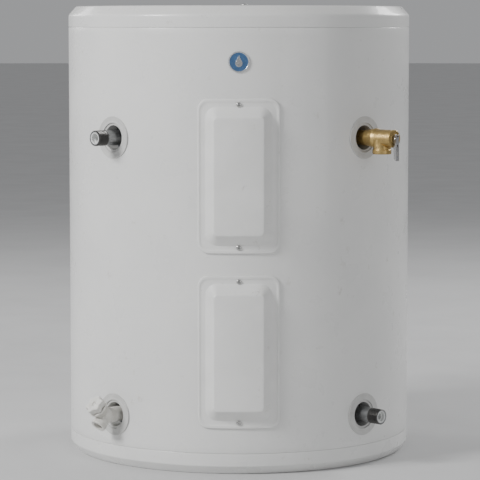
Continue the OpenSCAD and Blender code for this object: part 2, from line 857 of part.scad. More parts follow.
module thermostat(z, with_limit) {
  limit_z = with_limit ? limit_dz : thermostat_dz;
  on_side(0, z) {
    difference() {
      union() {
        thermostat_case(thermostat_dz, case_h);
        if (with_limit) {
          thermostat_case(limit_dz, limit_h);
          translate([0, (thermostat_dz + limit_dz) / 2, case_back])
            linear_extrude(8) square([20, limit_dz - thermostat_dz], center = true);
        }
        for (side = [-1, 1])
          translate([side * (case_w / 2 + ear_w / 2), thermostat_dz, 0])
            slab(ear_w + 1, 16, case_back, bracket_face - 0.1);
      }
      translate([0, thermostat_dz, case_face - 12])
        cylinder(r = dial_shaft_r + run_gap, h = 40);
      if (with_limit) translate([0, limit_dz, case_face - 10])
        cylinder(r = button_d / 2 + run_gap, h = 40);
    }
    dial_socket();
  }
}

module upper_thermostat() { color("saddlebrown") thermostat(high_cover_z, true); }
module lower_thermostat() { color("saddlebrown") thermostat(low_cover_z, false); }

// Terminal screws on the faces of the thermostats and the high-limit switch
module thermostat_screws() {
  head_h = 2.2;
  rows = [
    [high_cover_z, thermostat_dz, case_h],
    [high_cover_z, limit_dz, limit_h],
    [low_cover_z, thermostat_dz, case_h]];
  color("goldenrod") for (row = rows, sx = [-1, 1], sy = [-1, 1])
    on_side(0, row[0] + row[1] + sy * (row[2] / 2 - 8), case_face)
      translate([sx * 14, 0, 0]) cylinder(r = 3.2, h = head_h);
}

// Plastic guard over the live terminals, open for the dial and the reset button
module terminal_shield(z, top) {
  bottom = thermostat_dz - case_h / 2 - 4;
  mid = (top + bottom) / 2;
  side_back = bracket_face + bracket_t + 0.1;
  on_side(0, z) difference() {
    translate([0, mid, 0]) slab(shield_w, top - bottom, side_back, shield_face);
    translate([0, mid, 0])
      slab(shield_w - 3, top - bottom + 2, side_back - 1, shield_face - 1.5);
    translate([0, thermostat_dz, 0]) cylinder(r = dial_d / 2 + 2, h = cut);
    translate([0, limit_dz, 0]) cylinder(r = button_d / 2 + 2, h = cut);
  }
}

module terminal_shields() {
  color("ivory") {
    terminal_shield(high_cover_z, limit_dz + limit_h / 2 + 4);
    terminal_shield(low_cover_z, thermostat_dz + case_h / 2 + 4);
  }
}

module dial(z) {
  slot_w = 1.6;
  color("ivory") on_side(0, z + thermostat_dz) difference() {
    union() {
      translate([0, 0, dial_back]) cylinder(r = dial_d / 2, h = 3);
      translate([0, 0, case_face - 10]) cylinder(r = dial_shaft_r, h = 14);
    }
    translate([-dial_d / 2 + 1.5, -slot_w / 2, dial_back + 1.6])
      cube([dial_d - 3, slot_w, 3]);
    translate([-slot_w / 2, 2, dial_back + 1.6]) cube([slot_w, dial_d / 2 - 3.5, 3]);
  }
}

module upper_dial() { dial(high_cover_z); }
module lower_dial() { dial(low_cover_z); }

module reset_button() {
  color("red") on_side(0, high_cover_z + limit_dz, case_face - 10 + button_travel + 0.5)
    cylinder(r = button_d / 2, h = 12);
}

// ---------- access covers ----------

// Solid inside a cover's outline, drawn in by an inset on every side
module cover_form(inset) {
  foot_w = panel_foot_w - 2 * inset;
  foot_h = panel_foot_h - 2 * inset;
  rise_w = foot_w - 2 * panel_slope;
  rise_h = foot_h - 2 * panel_end_slope;
  foot = cover_out_r - inset - 6;
  lean_w = panel_slope / panel_rise;
  lean_h = panel_end_slope / panel_rise;
  extra = 6;
  depth = panel_out_r - cover_out_r + extra;
  intersection() {
    translate([0, 0, cover_in_r - 20]) linear_extrude(60)
      rounded_rect(cover_w - 2 * inset, cover_h - 2 * inset, cover_r - inset);
    rotate([90, 0, 0])
      cylinder(r = cover_out_r - inset, h = cut, center = true, $fn = fine);
  }
  intersection() {
    translate([0, foot_h / 2, cover_out_r - inset - extra]) rotate([90, 0, 0])
      linear_extrude(foot_h) polygon([
        [-foot_w / 2 - lean_w * extra, 0],
        [foot_w / 2 + lean_w * extra, 0],
        [rise_w / 2, depth],
        [-rise_w / 2, depth]]);
    translate([-foot_w / 2 - cut / 4, 0, cover_out_r - inset - extra])
      rotate([90, 0, 90]) linear_extrude(foot_w + cut / 2) polygon([
        [-foot_h / 2 - lean_h * extra, 0],
        [foot_h / 2 + lean_h * extra, 0],
        [rise_h / 2, depth],
        [-rise_h / 2, depth]]);
    rotate([90, 0, 0])
      cylinder(r = panel_out_r - inset, h = cut, center = true, $fn = fine);
  }
}

module cover(z) {
  color("white") on_side(0, z) difference() {
    cover_form(0);
    cover_form(cover_t);
    rotate([90, 0, 0]) cylinder(r = cover_in_r, h = cut, center = true, $fn = fine);
    for (dy = [-1, 1])
      translate([0, dy * cover_screw_z, cover_in_r - 5]) cylinder(r = screw_r + run_gap, h = 30);
  }
}

module cover_screws(z) {
  color("silver") for (dz = [-1, 1])
    on_side(0, z + dz * cover_screw_z, cover_out_r + 0.05) cross_screw(16);
}

module insulation_pad(z) {
  color("lemonchiffon") on_side(0, z) intersection() {
    translate([0, 0, pad_back]) linear_extrude(30) rounded_rect(pad_w, pad_h, 8);
    rotate([90, 0, 0])
      cylinder(r = panel_out_r - cover_t - 0.5, h = cut, center = true, $fn = fine);
  }
}

module upper_cover() { cover(high_cover_z); }
module lower_cover() { cover(low_cover_z); }
module upper_cover_screws() { cover_screws(high_cover_z); }
module lower_cover_screws() { cover_screws(low_cover_z); }
module upper_insulation_pad() { insulation_pad(high_cover_z); }
module lower_insulation_pad() { insulation_pad(low_cover_z); }

// ---------- relief valve ----------

// Threaded shank, three growing collars and a round chamber with its outlet below
module relief_valve_body() {
  shank_end = jacket_r + 6;
  collar_1 = jacket_r + 16;
  collar_2 = jacket_r + 25;
  chamber_at = jacket_r + relief_seat;
  body_end = jacket_r + relief_out;
  collar_drop = relief_outlet_drop - 8;
  outlet_socket = 13;
  outlet_way_r = 9;
  color("goldenrod") at_port(relief_port) difference() {
    union() {
      translate([0, 0, nipple_in]) cylinder(r = nipple_r, h = shank_end - nipple_in + 1);
      translate([0, 0, shank_end]) cylinder(r = relief_r - 1.2, h = collar_1 - shank_end + 1);
      translate([0, 0, collar_1]) cylinder(r = relief_r + 0.3, h = collar_2 - collar_1 + 1);
      translate([0, 0, collar_2]) cylinder(r = relief_r + 1.8, h = 2.5);
      translate([0, 0, collar_2 + 2.5])
        cylinder(r1 = relief_r + 1.8, r2 = relief_r, h = 5);
      translate([0, 0, collar_2 + 1]) cylinder(r = relief_r, h = body_end - collar_2 - 1);
      translate([0, 0, jacket_r + relief_outlet_at]) rotate([90, 0, 0])
        cylinder(r = relief_r, h = collar_drop + 1);
      translate([0, -collar_drop, jacket_r + relief_outlet_at]) rotate([90, 0, 0])
        cylinder(r = relief_r + 1, h = relief_outlet_drop - collar_drop);
    }
    translate([0, 0, nipple_in - 1]) cylinder(r = 9, h = chamber_at - nipple_in - 1);
    translate([0, 0, nipple_in]) cylinder(r = 8, h = chamber_at - nipple_in + 1);
    translate([0, 0, chamber_at]) cylinder(r = relief_chamber_r, h = relief_out);
    translate([0, 0, jacket_r + relief_outlet_at]) rotate([90, 0, 0])
      cylinder(r = outlet_way_r, h = relief_outlet_drop + 1);
    translate([0, outlet_socket - relief_outlet_drop, jacket_r + relief_outlet_at])
      rotate([90, 0, 0]) cylinder(r = relief_outlet_bore / 2, h = outlet_socket + 1);
  }
}

// Plug that closes the valve's end, guides the stem and houses the spring's seat
module relief_bonnet() {
  color("goldenrod") at_port(relief_port, 0) difference() {
    translate([0, 0, jacket_r + relief_cap_back])
      cylinder(r = relief_chamber_r - run_gap, h = relief_out - relief_cap_back - 0.2);
    translate([0, 0, jacket_r + relief_cap_back - 1])
      cylinder(r = 8.6, h = relief_lift + 1.8);
    translate([0, 0, jacket_r]) cylinder(r = relief_stem_r + run_gap, h = cut);
  }
}

// Temperature probe that reaches into the tank through the valve's shank
module relief_probe() {
  probe_in = tank_r - 112;
  spider_r = 8.95;
  color("sandybrown") at_port(relief_port) {
    translate([0, 0, probe_in]) cylinder(r = 4, h = jacket_r + relief_seat - 6 - probe_in);
    difference() {
      translate([0, 0, nipple_in + 2]) cylinder(r = spider_r, h = 3);
      for (a = [0:120:240])
        rotate(a) translate([6.4, 0, nipple_in]) cylinder(r = 1.8, h = 10);
    }
  }
}

module relief_stem() {
  foot = jacket_r + relief_seat + 3.3;
  pivot = jacket_r + lever_pivot;
  color("silver") at_port(relief_port) difference() {
    union() {
      translate([0, 0, foot]) cylinder(r = relief_stem_r, h = pivot - foot);
      translate([0, 0, pivot]) sphere(relief_stem_r);
      translate([0, 0, foot]) cylinder(r = 5, h = 1.5);
    }
    translate([0, 0, pivot]) rotate([0, 90, 0])
      cylinder(r = lever_pin_r + run_gap, h = 20, center = true);
  }
}

module relief_disc() {
  color("black") at_port(relief_port, jacket_r + relief_seat + 0.1)
    cylinder(r = 10.6, h = 3.1);
}

// Coil spring that holds the disc on its seat
module relief_spring() {
  coil_r = 7;
  coil_wire_r = 1;
  turns = 5;
  steps = 14;
  start = jacket_r + relief_seat + 3.4 + coil_wire_r;
  coil_l = relief_cap_back - relief_seat - 3.6 - 2 * coil_wire_r;
  color("silver") at_port(relief_port) sweep(
    [for (i = [0:turns * steps])
      [coil_r * cos(360 * i / steps), coil_r * sin(360 * i / steps),
        start + coil_l * i / (turns * steps)]], coil_wire_r);
}

module relief_lever_pin() {
  head = 0.6;
  color("silver") at_port(relief_port, jacket_r + lever_pivot) rotate([0, 90, 0]) {
    cylinder(r = lever_pin_r, h = lever_w + 0.6, center = true);
    for (side = [-1, 1])
      translate([0, 0, side * (lever_w / 2 + 0.2 + head / 2)])
        cylinder(r = 2, h = head, center = true);
  }
}

// Channel-shaped lever. Its heel is a cam whose reach grows evenly as it turns.
module relief_lever() {
  heel = lever_pivot - relief_out - lever_gap;
  pace = relief_lift / lever_turn;
  arm = pace * 180 / PI;
  steps = 10;
  heel_points = [for (i = [0:steps])
    let (a = lever_turn * i / steps, reach = heel + pace * a)
    [arm * sin(a) - reach * cos(a), arm * cos(a) + reach * sin(a)]];
  side_points = concat(heel_points, [
    [lever_back, relief_stem_r + 4],
    [lever_back, -lever_l],
    [lever_back - 2.8, -lever_l],
    [lever_back - 5.4, 4 - lever_l],
    [-heel, -6]]);
  color("silver") at_port(relief_port, jacket_r + lever_pivot) {
    difference() {
      union() {
        for (side = [-1, 1])
          translate([side * (lever_w - lever_t) / 2, 0, 0]) rotate([0, -90, 0])
            linear_extrude(lever_t, center = true) polygon(side_points);
        translate([0, (3 - lever_l) / 2, 0])
          slab(lever_w - 0.5, lever_l + 3, lever_back - lever_t, lever_back);
      }
      rotate([0, 90, 0]) cylinder(r = lever_pin_r + run_gap, h = 20, center = true);
      translate([0, -lever_l / 2, 0]) linear_extrude(10) slot(3, lever_l / 2);
      translate([0, 4.5 - lever_l, 0]) cylinder(r = 1.2, h = 10);
    }
  }
}

// ---------- drain valve ----------

module at_stem(t = 0) {
  at_port(drain_port, jacket_r + drain_at) rotate([-drain_stem_tilt, 0, 0])
    translate([0, 0, t]) children();
}

module at_hose(t = 0) {
  at_port(drain_port, jacket_r + drain_at) rotate([drain_outlet_tilt, 0, 0])
    translate([0, 0, t]) children();
}

// Threaded shank, ball-shaped middle, tilted neck for the stem and hose outlet
module drain_valve_body() {
  hose_neck = 14.8;
  color("whitesmoke") difference() {
    union() {
      at_port(drain_port, nipple_in)
        cylinder(r = nipple_r, h = jacket_r + drain_at - nipple_in);
      at_stem() sphere(neck_r + 0.4);
      at_stem() cylinder(r = neck_r, h = neck_end);
      at_hose() cylinder(r = hose_thread_d / 2 - 1.3, h = hose_neck + 1);
      at_hose(hose_neck) cylinder(r = hose_thread_d / 2, h = hose_reach - hose_neck);
    }
    at_port(drain_port, nipple_in - 1)
      cylinder(r = seat_r + 0.5, h = jacket_r + drain_at - nipple_in + 1);
    at_stem(-1) cylinder(r = seat_r, h = neck_end);
    at_stem(seat_at) cylinder(r = chamber_r, h = neck_end);
    at_hose(8.3) cylinder(r = 8.5, h = hose_reach);
  }
}

module drain_bonnet() {
  color("whitesmoke") at_stem() difference() {
    union() {
      translate([0, 0, bonnet_plug_end])
        cylinder(r = chamber_r - run_gap, h = neck_end - bonnet_plug_end + 0.5);
      translate([0, 0, neck_end + 0.02]) cylinder(r = bonnet_r, h = bonnet_end - neck_end);
    }
    translate([0, 0, bonnet_plug_end - 1]) cylinder(r = gland_r, h = 9.2);
    cylinder(r = drain_stem_r + run_gap, h = 60);
  }
}

module drain_seat_washer() {
  color("black") at_stem(seat_at + 0.05) cylinder(r = seat_r + 2.5, h = washer_t);
}

module drain_stem() {
  head_at = seat_at + washer_t + 0.15;
  collar_h = 2.8;
  groove_h = 2 * oring_r + 0.1;
  color("whitesmoke") at_stem() difference() {
    union() {
      translate([0, 0, head_at]) cylinder(r = 6.5, h = 2.4);
      translate([0, 0, head_at]) cylinder(r = drain_stem_r, h = knob_face - 3 - head_at);
      translate([0, 0, oring_at - collar_h / 2]) cylinder(r = 4.9, h = collar_h);
    }
    translate([0, 0, oring_at - groove_h / 2]) tube(10, 3.85, groove_h);
  }
}

module drain_stem_oring() {
  color("black") at_stem(oring_at) rotate_extrude()
    translate([gland_r - 0.08 - oring_r, 0]) circle(oring_r);
}

// Lobed knob with a star-shaped recess in its face
module drain_knob() {
  scallop_r = 10;
  scallop_at = knob_d / 2 + 6.6;
  star_out = 5.4;
  star_in = 2.8;
  points = 6;
  color("whitesmoke") at_stem() difference() {
    translate([0, 0, knob_back]) cylinder(r = knob_d / 2, h = knob_face - knob_back);
    for (i = [0:knob_lobes - 1])
      rotate(360 * i / knob_lobes) translate([scallop_at, 0, knob_back - 1])
        cylinder(r = scallop_r, h = knob_face - knob_back + 2);
    translate([0, 0, knob_back - 1])
      cylinder(r = drain_stem_r + 0.02, h = knob_face - 3 - knob_back + 1.02);
    translate([0, 0, knob_face - 2]) linear_extrude(3) polygon([for (i = [0:2 * points - 1])
      let (r = i % 2 == 0 ? star_out : star_in, a = 180 * i / points)
      [r * cos(a), r * sin(a)]]);
  }
}

base_pan();
jacket();
top_cap();
badge();
port_trim_rings();
tank_shell();
tank_top_head();
tank_bottom_head();
foam_insulation();
weld_spuds();
bay_liners();
hot_outlet_nipple();
cold_inlet_nipple();
nipple_liners();
hot_pickup_tube();
cold_diffuser_tube();
anode_rod();
anode_head();
anode_cover_plug();
junction_box();
junction_cover();
junction_cover_screws();
ground_screw();
wire_harness();
upper_element_plug();
upper_element_rod();
upper_element_terminals();
lower_element_plug();
lower_element_rod();
lower_element_terminals();
element_gaskets();
thermostat_brackets();
upper_thermostat();
lower_thermostat();
thermostat_screws();
terminal_shields();
upper_dial();
lower_dial();
reset_button();
upper_insulation_pad();
lower_insulation_pad();
upper_cover();
lower_cover();
upper_cover_screws();
lower_cover_screws();
relief_valve_body();
relief_bonnet();
relief_probe();
relief_stem();
relief_disc();
relief_spring();
relief_lever_pin();
relief_lever();
drain_valve_body();
drain_bonnet();
drain_seat_washer();
drain_stem();
drain_stem_oring();
drain_knob();
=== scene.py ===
"""Finished looks of the low electric water heater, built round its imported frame.

Lengths are millimetres until a piece is made, and a port's frame has x to the right,
y up and z outwards from the tank's axis. Every surface is worked out as whole arrays.
"""
import json
import math

import bmesh
import bpy
import numpy as np
from mathutils.geometry import tessellate_polygon
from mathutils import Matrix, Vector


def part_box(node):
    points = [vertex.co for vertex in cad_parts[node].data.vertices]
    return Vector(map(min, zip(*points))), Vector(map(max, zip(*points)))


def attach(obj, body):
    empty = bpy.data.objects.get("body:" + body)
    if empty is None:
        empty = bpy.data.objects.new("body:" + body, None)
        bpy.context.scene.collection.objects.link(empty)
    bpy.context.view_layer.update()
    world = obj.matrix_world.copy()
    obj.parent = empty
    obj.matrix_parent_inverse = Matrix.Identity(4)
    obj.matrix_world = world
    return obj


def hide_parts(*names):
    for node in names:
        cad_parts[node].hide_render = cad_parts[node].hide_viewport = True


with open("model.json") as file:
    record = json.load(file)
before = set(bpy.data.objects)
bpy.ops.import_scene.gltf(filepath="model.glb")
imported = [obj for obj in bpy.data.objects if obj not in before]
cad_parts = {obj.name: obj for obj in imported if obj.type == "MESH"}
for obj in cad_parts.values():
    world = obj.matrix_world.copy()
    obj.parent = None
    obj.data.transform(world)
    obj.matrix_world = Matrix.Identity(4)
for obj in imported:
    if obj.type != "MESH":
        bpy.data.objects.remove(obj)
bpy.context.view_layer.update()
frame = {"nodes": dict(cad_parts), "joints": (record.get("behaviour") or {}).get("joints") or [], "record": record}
record = frame["record"]

MM = 0.001
TAU = 2 * math.pi
SIDES = 128

SLOT_OF = {row["node"]: row["material_slot"] for row in record["subparts"]}
BODY_OF = {node: body for body, nodes in record["behaviour"]["bodies"].items() for node in nodes}
MOUNT = {row["name"]: row for row in record["mounts"]}
JOINT = {row["name"]: row for row in frame["joints"]}


# ---------- camera, light and floor ----------

def aim_camera():
    """Long lens, a little above the middle of the heater and tipped down towards it."""
    distance = 4.2324
    height = 0.7722
    tip = math.radians(5.3554)
    camera = bpy.data.objects.new("camera", bpy.data.cameras.new("camera"))
    camera.data.lens = 174.27
    camera.data.sensor_width = 36
    camera.data.shift_x = 0.00237
    camera.location = (0, -distance, height)
    camera.rotation_euler = (math.pi / 2 - tip, 0, 0)
    bpy.context.scene.collection.objects.link(camera)
    bpy.context.scene.camera = camera


def light_studio():
    """Large key lamp from the upper left, a fill, one behind each side and an even sky.

    Each lamp is a square at a place, turned towards the middle of the heater.
    """
    middle = np.array([0, 0, 0.4])
    for name, place, size, power in [
            ("key_lamp", (-2.9, -1.9, 2.5), 1.1, 150), ("fill_lamp", (2.6, -2.8, 1.2), 2.2, 22),
            ("back_left_lamp", (-2.4, 2.4, 1.8), 1.4, 26), ("back_right_lamp", (2.4, 2.2, 2.2), 1.2, 62)]:
        lamp = bpy.data.objects.new(name, bpy.data.lights.new(name, "AREA"))
        lamp.data.size, lamp.data.energy, lamp.location = size, power, place
        x, y, z = middle - place
        lift = math.atan2(z, math.hypot(x, y)) + math.pi / 2
        lamp.rotation_euler = (lift, 0, math.atan2(y, x) - math.pi / 2)
        bpy.context.scene.collection.objects.link(lamp)
    world = bpy.data.worlds.new("studio")
    world.use_nodes = True
    sky = world.node_tree.nodes["Background"]
    sky.inputs["Color"].default_value = (0.93, 0.94, 0.96, 1)
    sky.inputs["Strength"].default_value = 0.38
    bpy.context.scene.world = world


# ---------- shader groups ----------

def add(tree, kind, **settings):
    """New node with its properties set."""
    node = tree.nodes.new("ShaderNode" + kind)
    for key, value in settings.items():
        setattr(node, key, value)
    return node


def feed(tree, pairs):
    """Links each (from socket, to socket) pair, or sets the socket where the first is a number."""
    for source, target in pairs:
        if isinstance(source, bpy.types.NodeSocket):
            tree.links.new(source, target)
        else:
            target.default_value = source


def shader_group(name, inputs, nodes, output, result):
    """Shader group from short tables.

    inputs are label: start value, None for a vector. nodes are label: (kind, settings, inputs),
    each after the ones it reads. An input is a number, or its source as "node.socket".
    """
    tree = bpy.data.node_groups.new(name, "ShaderNodeTree")
    for label, value in inputs.items():
        kind = "NodeSocketVector" if value is None else "NodeSocketFloat"
        socket = tree.interface.new_socket(label, in_out="INPUT", socket_type=kind)
        if value is not None:
            socket.default_value = value
    tree.interface.new_socket(output, in_out="OUTPUT", socket_type="NodeSocketFloat")
    made = {"in": tree.nodes.new("NodeGroupInput")}

    def source_of(end):
        if isinstance(end, str):
            label, socket = end.split(".")
            return made[label].outputs[socket]
        return end

    for label, (kind, settings, ends) in nodes.items():
        made[label] = add(tree, kind, **settings)
        feed(tree, [(source_of(end), made[label].inputs[socket]) for socket, end in ends.items()])
    feed(tree, [(source_of(result), tree.nodes.new("NodeGroupOutput").inputs[output])])
    return tree


NOISE = ("TexNoise", {})
EASED_SPAN = ("MapRange", {"interpolation_type": "SMOOTHSTEP"})
TIMES = ("Math", {"operation": "MULTIPLY"})
TIMES_HELD = ("Math", {"operation": "MULTIPLY", "use_clamp": True})
TIMES_PLUS = ("Math", {"operation": "MULTIPLY_ADD"})
LESS = ("Math", {"operation": "SUBTRACT"})

# Soft noise spread over a chosen range: value = low + (high - low) * noise
MOTTLE = shader_group("mottle", {"Vector": None, "Scale": 50.0, "Low": 0.0, "High": 1.0}, {
    "noise": (*NOISE, {"Vector": "in.Vector", "Scale": "in.Scale", "Detail": 4.0}),
    "spread": (*EASED_SPAN, {"Value": "noise.Fac", "From Min": 0.3, "From Max": 0.7,
                             "To Min": "in.Low", "To Max": "in.High"}),
}, "Value", "spread.Result")

# Mask of small worn spots: noise above a threshold, broken up by a finer noise
SCUFF = shader_group("scuff", {"Vector": None, "Scale": 60.0, "Threshold": 0.62}, {
    "broad": (*NOISE, {"Vector": "in.Vector", "Scale": "in.Scale", "Detail": 3.0}),
    "finer": (*TIMES, {0: "in.Scale", 1: 6.0}),
    "fine": (*NOISE, {"Vector": "in.Vector", "Scale": "finer.Value", "Detail": 2.0}),
    "both": (*TIMES_PLUS, {0: "fine.Fac", 1: 0.25, 2: "broad.Fac"}),
    "above": (*LESS, {0: "both.Value", 1: "in.Threshold"}),
    "gain": (*TIMES_HELD, {0: "above.Value", 1: 9.0}),
}, "Mask", "gain.Value")

# Height of a grain of two scales: coarse noise plus a third of a noise four times finer
GRAIN = shader_group("grain", {"Vector": None, "Scale": 300.0}, {
    "coarse": (*NOISE, {"Vector": "in.Vector", "Scale": "in.Scale", "Detail": 2.0}),
    "finer": (*TIMES, {0: "in.Scale", 1: 4.0}),
    "fine": (*NOISE, {"Vector": "in.Vector", "Scale": "finer.Value", "Detail": 2.0}),
    "total": (*TIMES_PLUS, {0: "fine.Fac", 1: 0.33, 2: "coarse.Fac"}),
}, "Height", "total.Value")

# Crystal flakes of galvanised steel: a random tone for each cell of a Voronoi pattern
SPANGLE = shader_group("spangle", {"Vector": None, "Scale": 90.0}, {
    "cells": ("TexVoronoi", {}, {"Vector": "in.Vector", "Scale": "in.Scale"}),
    "tone": ("SeparateColor", {}, {"Color": "cells.Color"}),
}, "Tone", "tone.Red")

# Mask of settled dust: faces that look up, broken by noise
DUST = shader_group("dust", {"Vector": None, "Normal": None, "Amount": 0.5}, {
    "split": ("SeparateXYZ", {}, {0: "in.Normal"}),
    "up": (*EASED_SPAN, {"Value": "split.Z", "From Min": 0.35, "From Max": 1.0}),
    "noise": (*NOISE, {"Vector": "in.Vector", "Scale": 14.0, "Detail": 6.0}),
    "both": (*TIMES, {0: "up.Result", 1: "noise.Fac"}),
    "scaled": (*TIMES_HELD, {0: "both.Value", 1: "in.Amount"}),
}, "Mask", "scaled.Value")


# ---------- materials ----------

def use(tree, group, vector, **values):
    """Places a shader group, feeds its Vector and its other inputs, and gives its output."""
    node = add(tree, "Group", node_tree=group)
    feed(tree, [(value, node.inputs[label]) for label, value in {"Vector": vector, **values}.items()])
    return node.outputs[0]


def blend(tree, mask, first, second):
    """Colour that goes from the first to the second as the mask goes from 0 to 1."""
    mix = add(tree, "Mix", data_type="RGBA")
    ends = [(*end, 1.0) if isinstance(end, tuple) else end for end in (first, second)]
    feed(tree, [(mask, mix.inputs["Factor"]), (ends[0], mix.inputs["A"]), (ends[1], mix.inputs["B"])])
    return mix.outputs["Result"]


def finish(name, base, second, rough, metal, blotch, grain, depth, stretch=None, scuff=None,
           coat=0.0, sheen=0.0, flakes=None, dust=0.0, tint=None):
    """Finish from shared effects: mottled colour, grain that the light catches, and worn spots.

    base and second are the ends of the mottled colour, rough the ends of the roughness, blotch
    and grain how many there are to a metre, depth the grain's height in millimetres and stretch
    how the pattern is squeezed along each axis. scuff is (threshold, spots to a metre, colour).
    tint is (attribute, colour), and the attribute also gives the metal where metal is None.
    """
    dust_colour = (0.62, 0.59, 0.54)
    gloss_blotch, scuff_rough = 2.3, 0.2
    material = bpy.data.materials.new(name)
    material.use_nodes = True
    tree = material.node_tree
    shader = tree.nodes["Principled BSDF"]
    place = add(tree, "TexCoord").outputs["Object"]
    if stretch:
        squeeze = add(tree, "Mapping")
        feed(tree, [(place, squeeze.inputs["Vector"]), (stretch, squeeze.inputs["Scale"])])
        place = squeeze.outputs["Vector"]
    if flakes:
        tone = use(tree, SPANGLE, place, Scale=flakes)
    else:
        tone = use(tree, MOTTLE, place, Scale=blotch, Low=0.0, High=1.0)
    colour = blend(tree, tone, base, second)
    gloss = use(tree, MOTTLE, place, Scale=blotch * gloss_blotch, Low=rough[0], High=rough[1])
    if scuff:
        threshold, scale, worn_colour = scuff
        worn = use(tree, SCUFF, place, Scale=scale, Threshold=threshold)
        colour = blend(tree, worn, colour, worn_colour)
        rougher = add(tree, "Math", operation="MULTIPLY_ADD", use_clamp=True)
        feed(tree, zip((worn, scuff_rough, gloss), rougher.inputs))
        gloss = rougher.outputs[0]
    if tint:
        marked = add(tree, "Attribute", attribute_name=tint[0]).outputs["Fac"]
        colour = blend(tree, marked, colour, tint[1])
        metal = marked if metal is None else metal
    if dust:
        facing = add(tree, "NewGeometry").outputs["Normal"]
        colour = blend(tree, use(tree, DUST, place, Normal=facing, Amount=dust), colour, dust_colour)
    bump = add(tree, "Bump")
    feed(tree, [
        (use(tree, GRAIN, place, Scale=grain), bump.inputs["Height"]),
        (depth * MM, bump.inputs["Distance"]), (bump.outputs["Normal"], shader.inputs["Normal"]),
        (colour, shader.inputs["Base Color"]), (gloss, shader.inputs["Roughness"]),
        (metal, shader.inputs["Metallic"]), (coat, shader.inputs["Coat Weight"]),
        (sheen, shader.inputs["Sheen Weight"])])
    return material


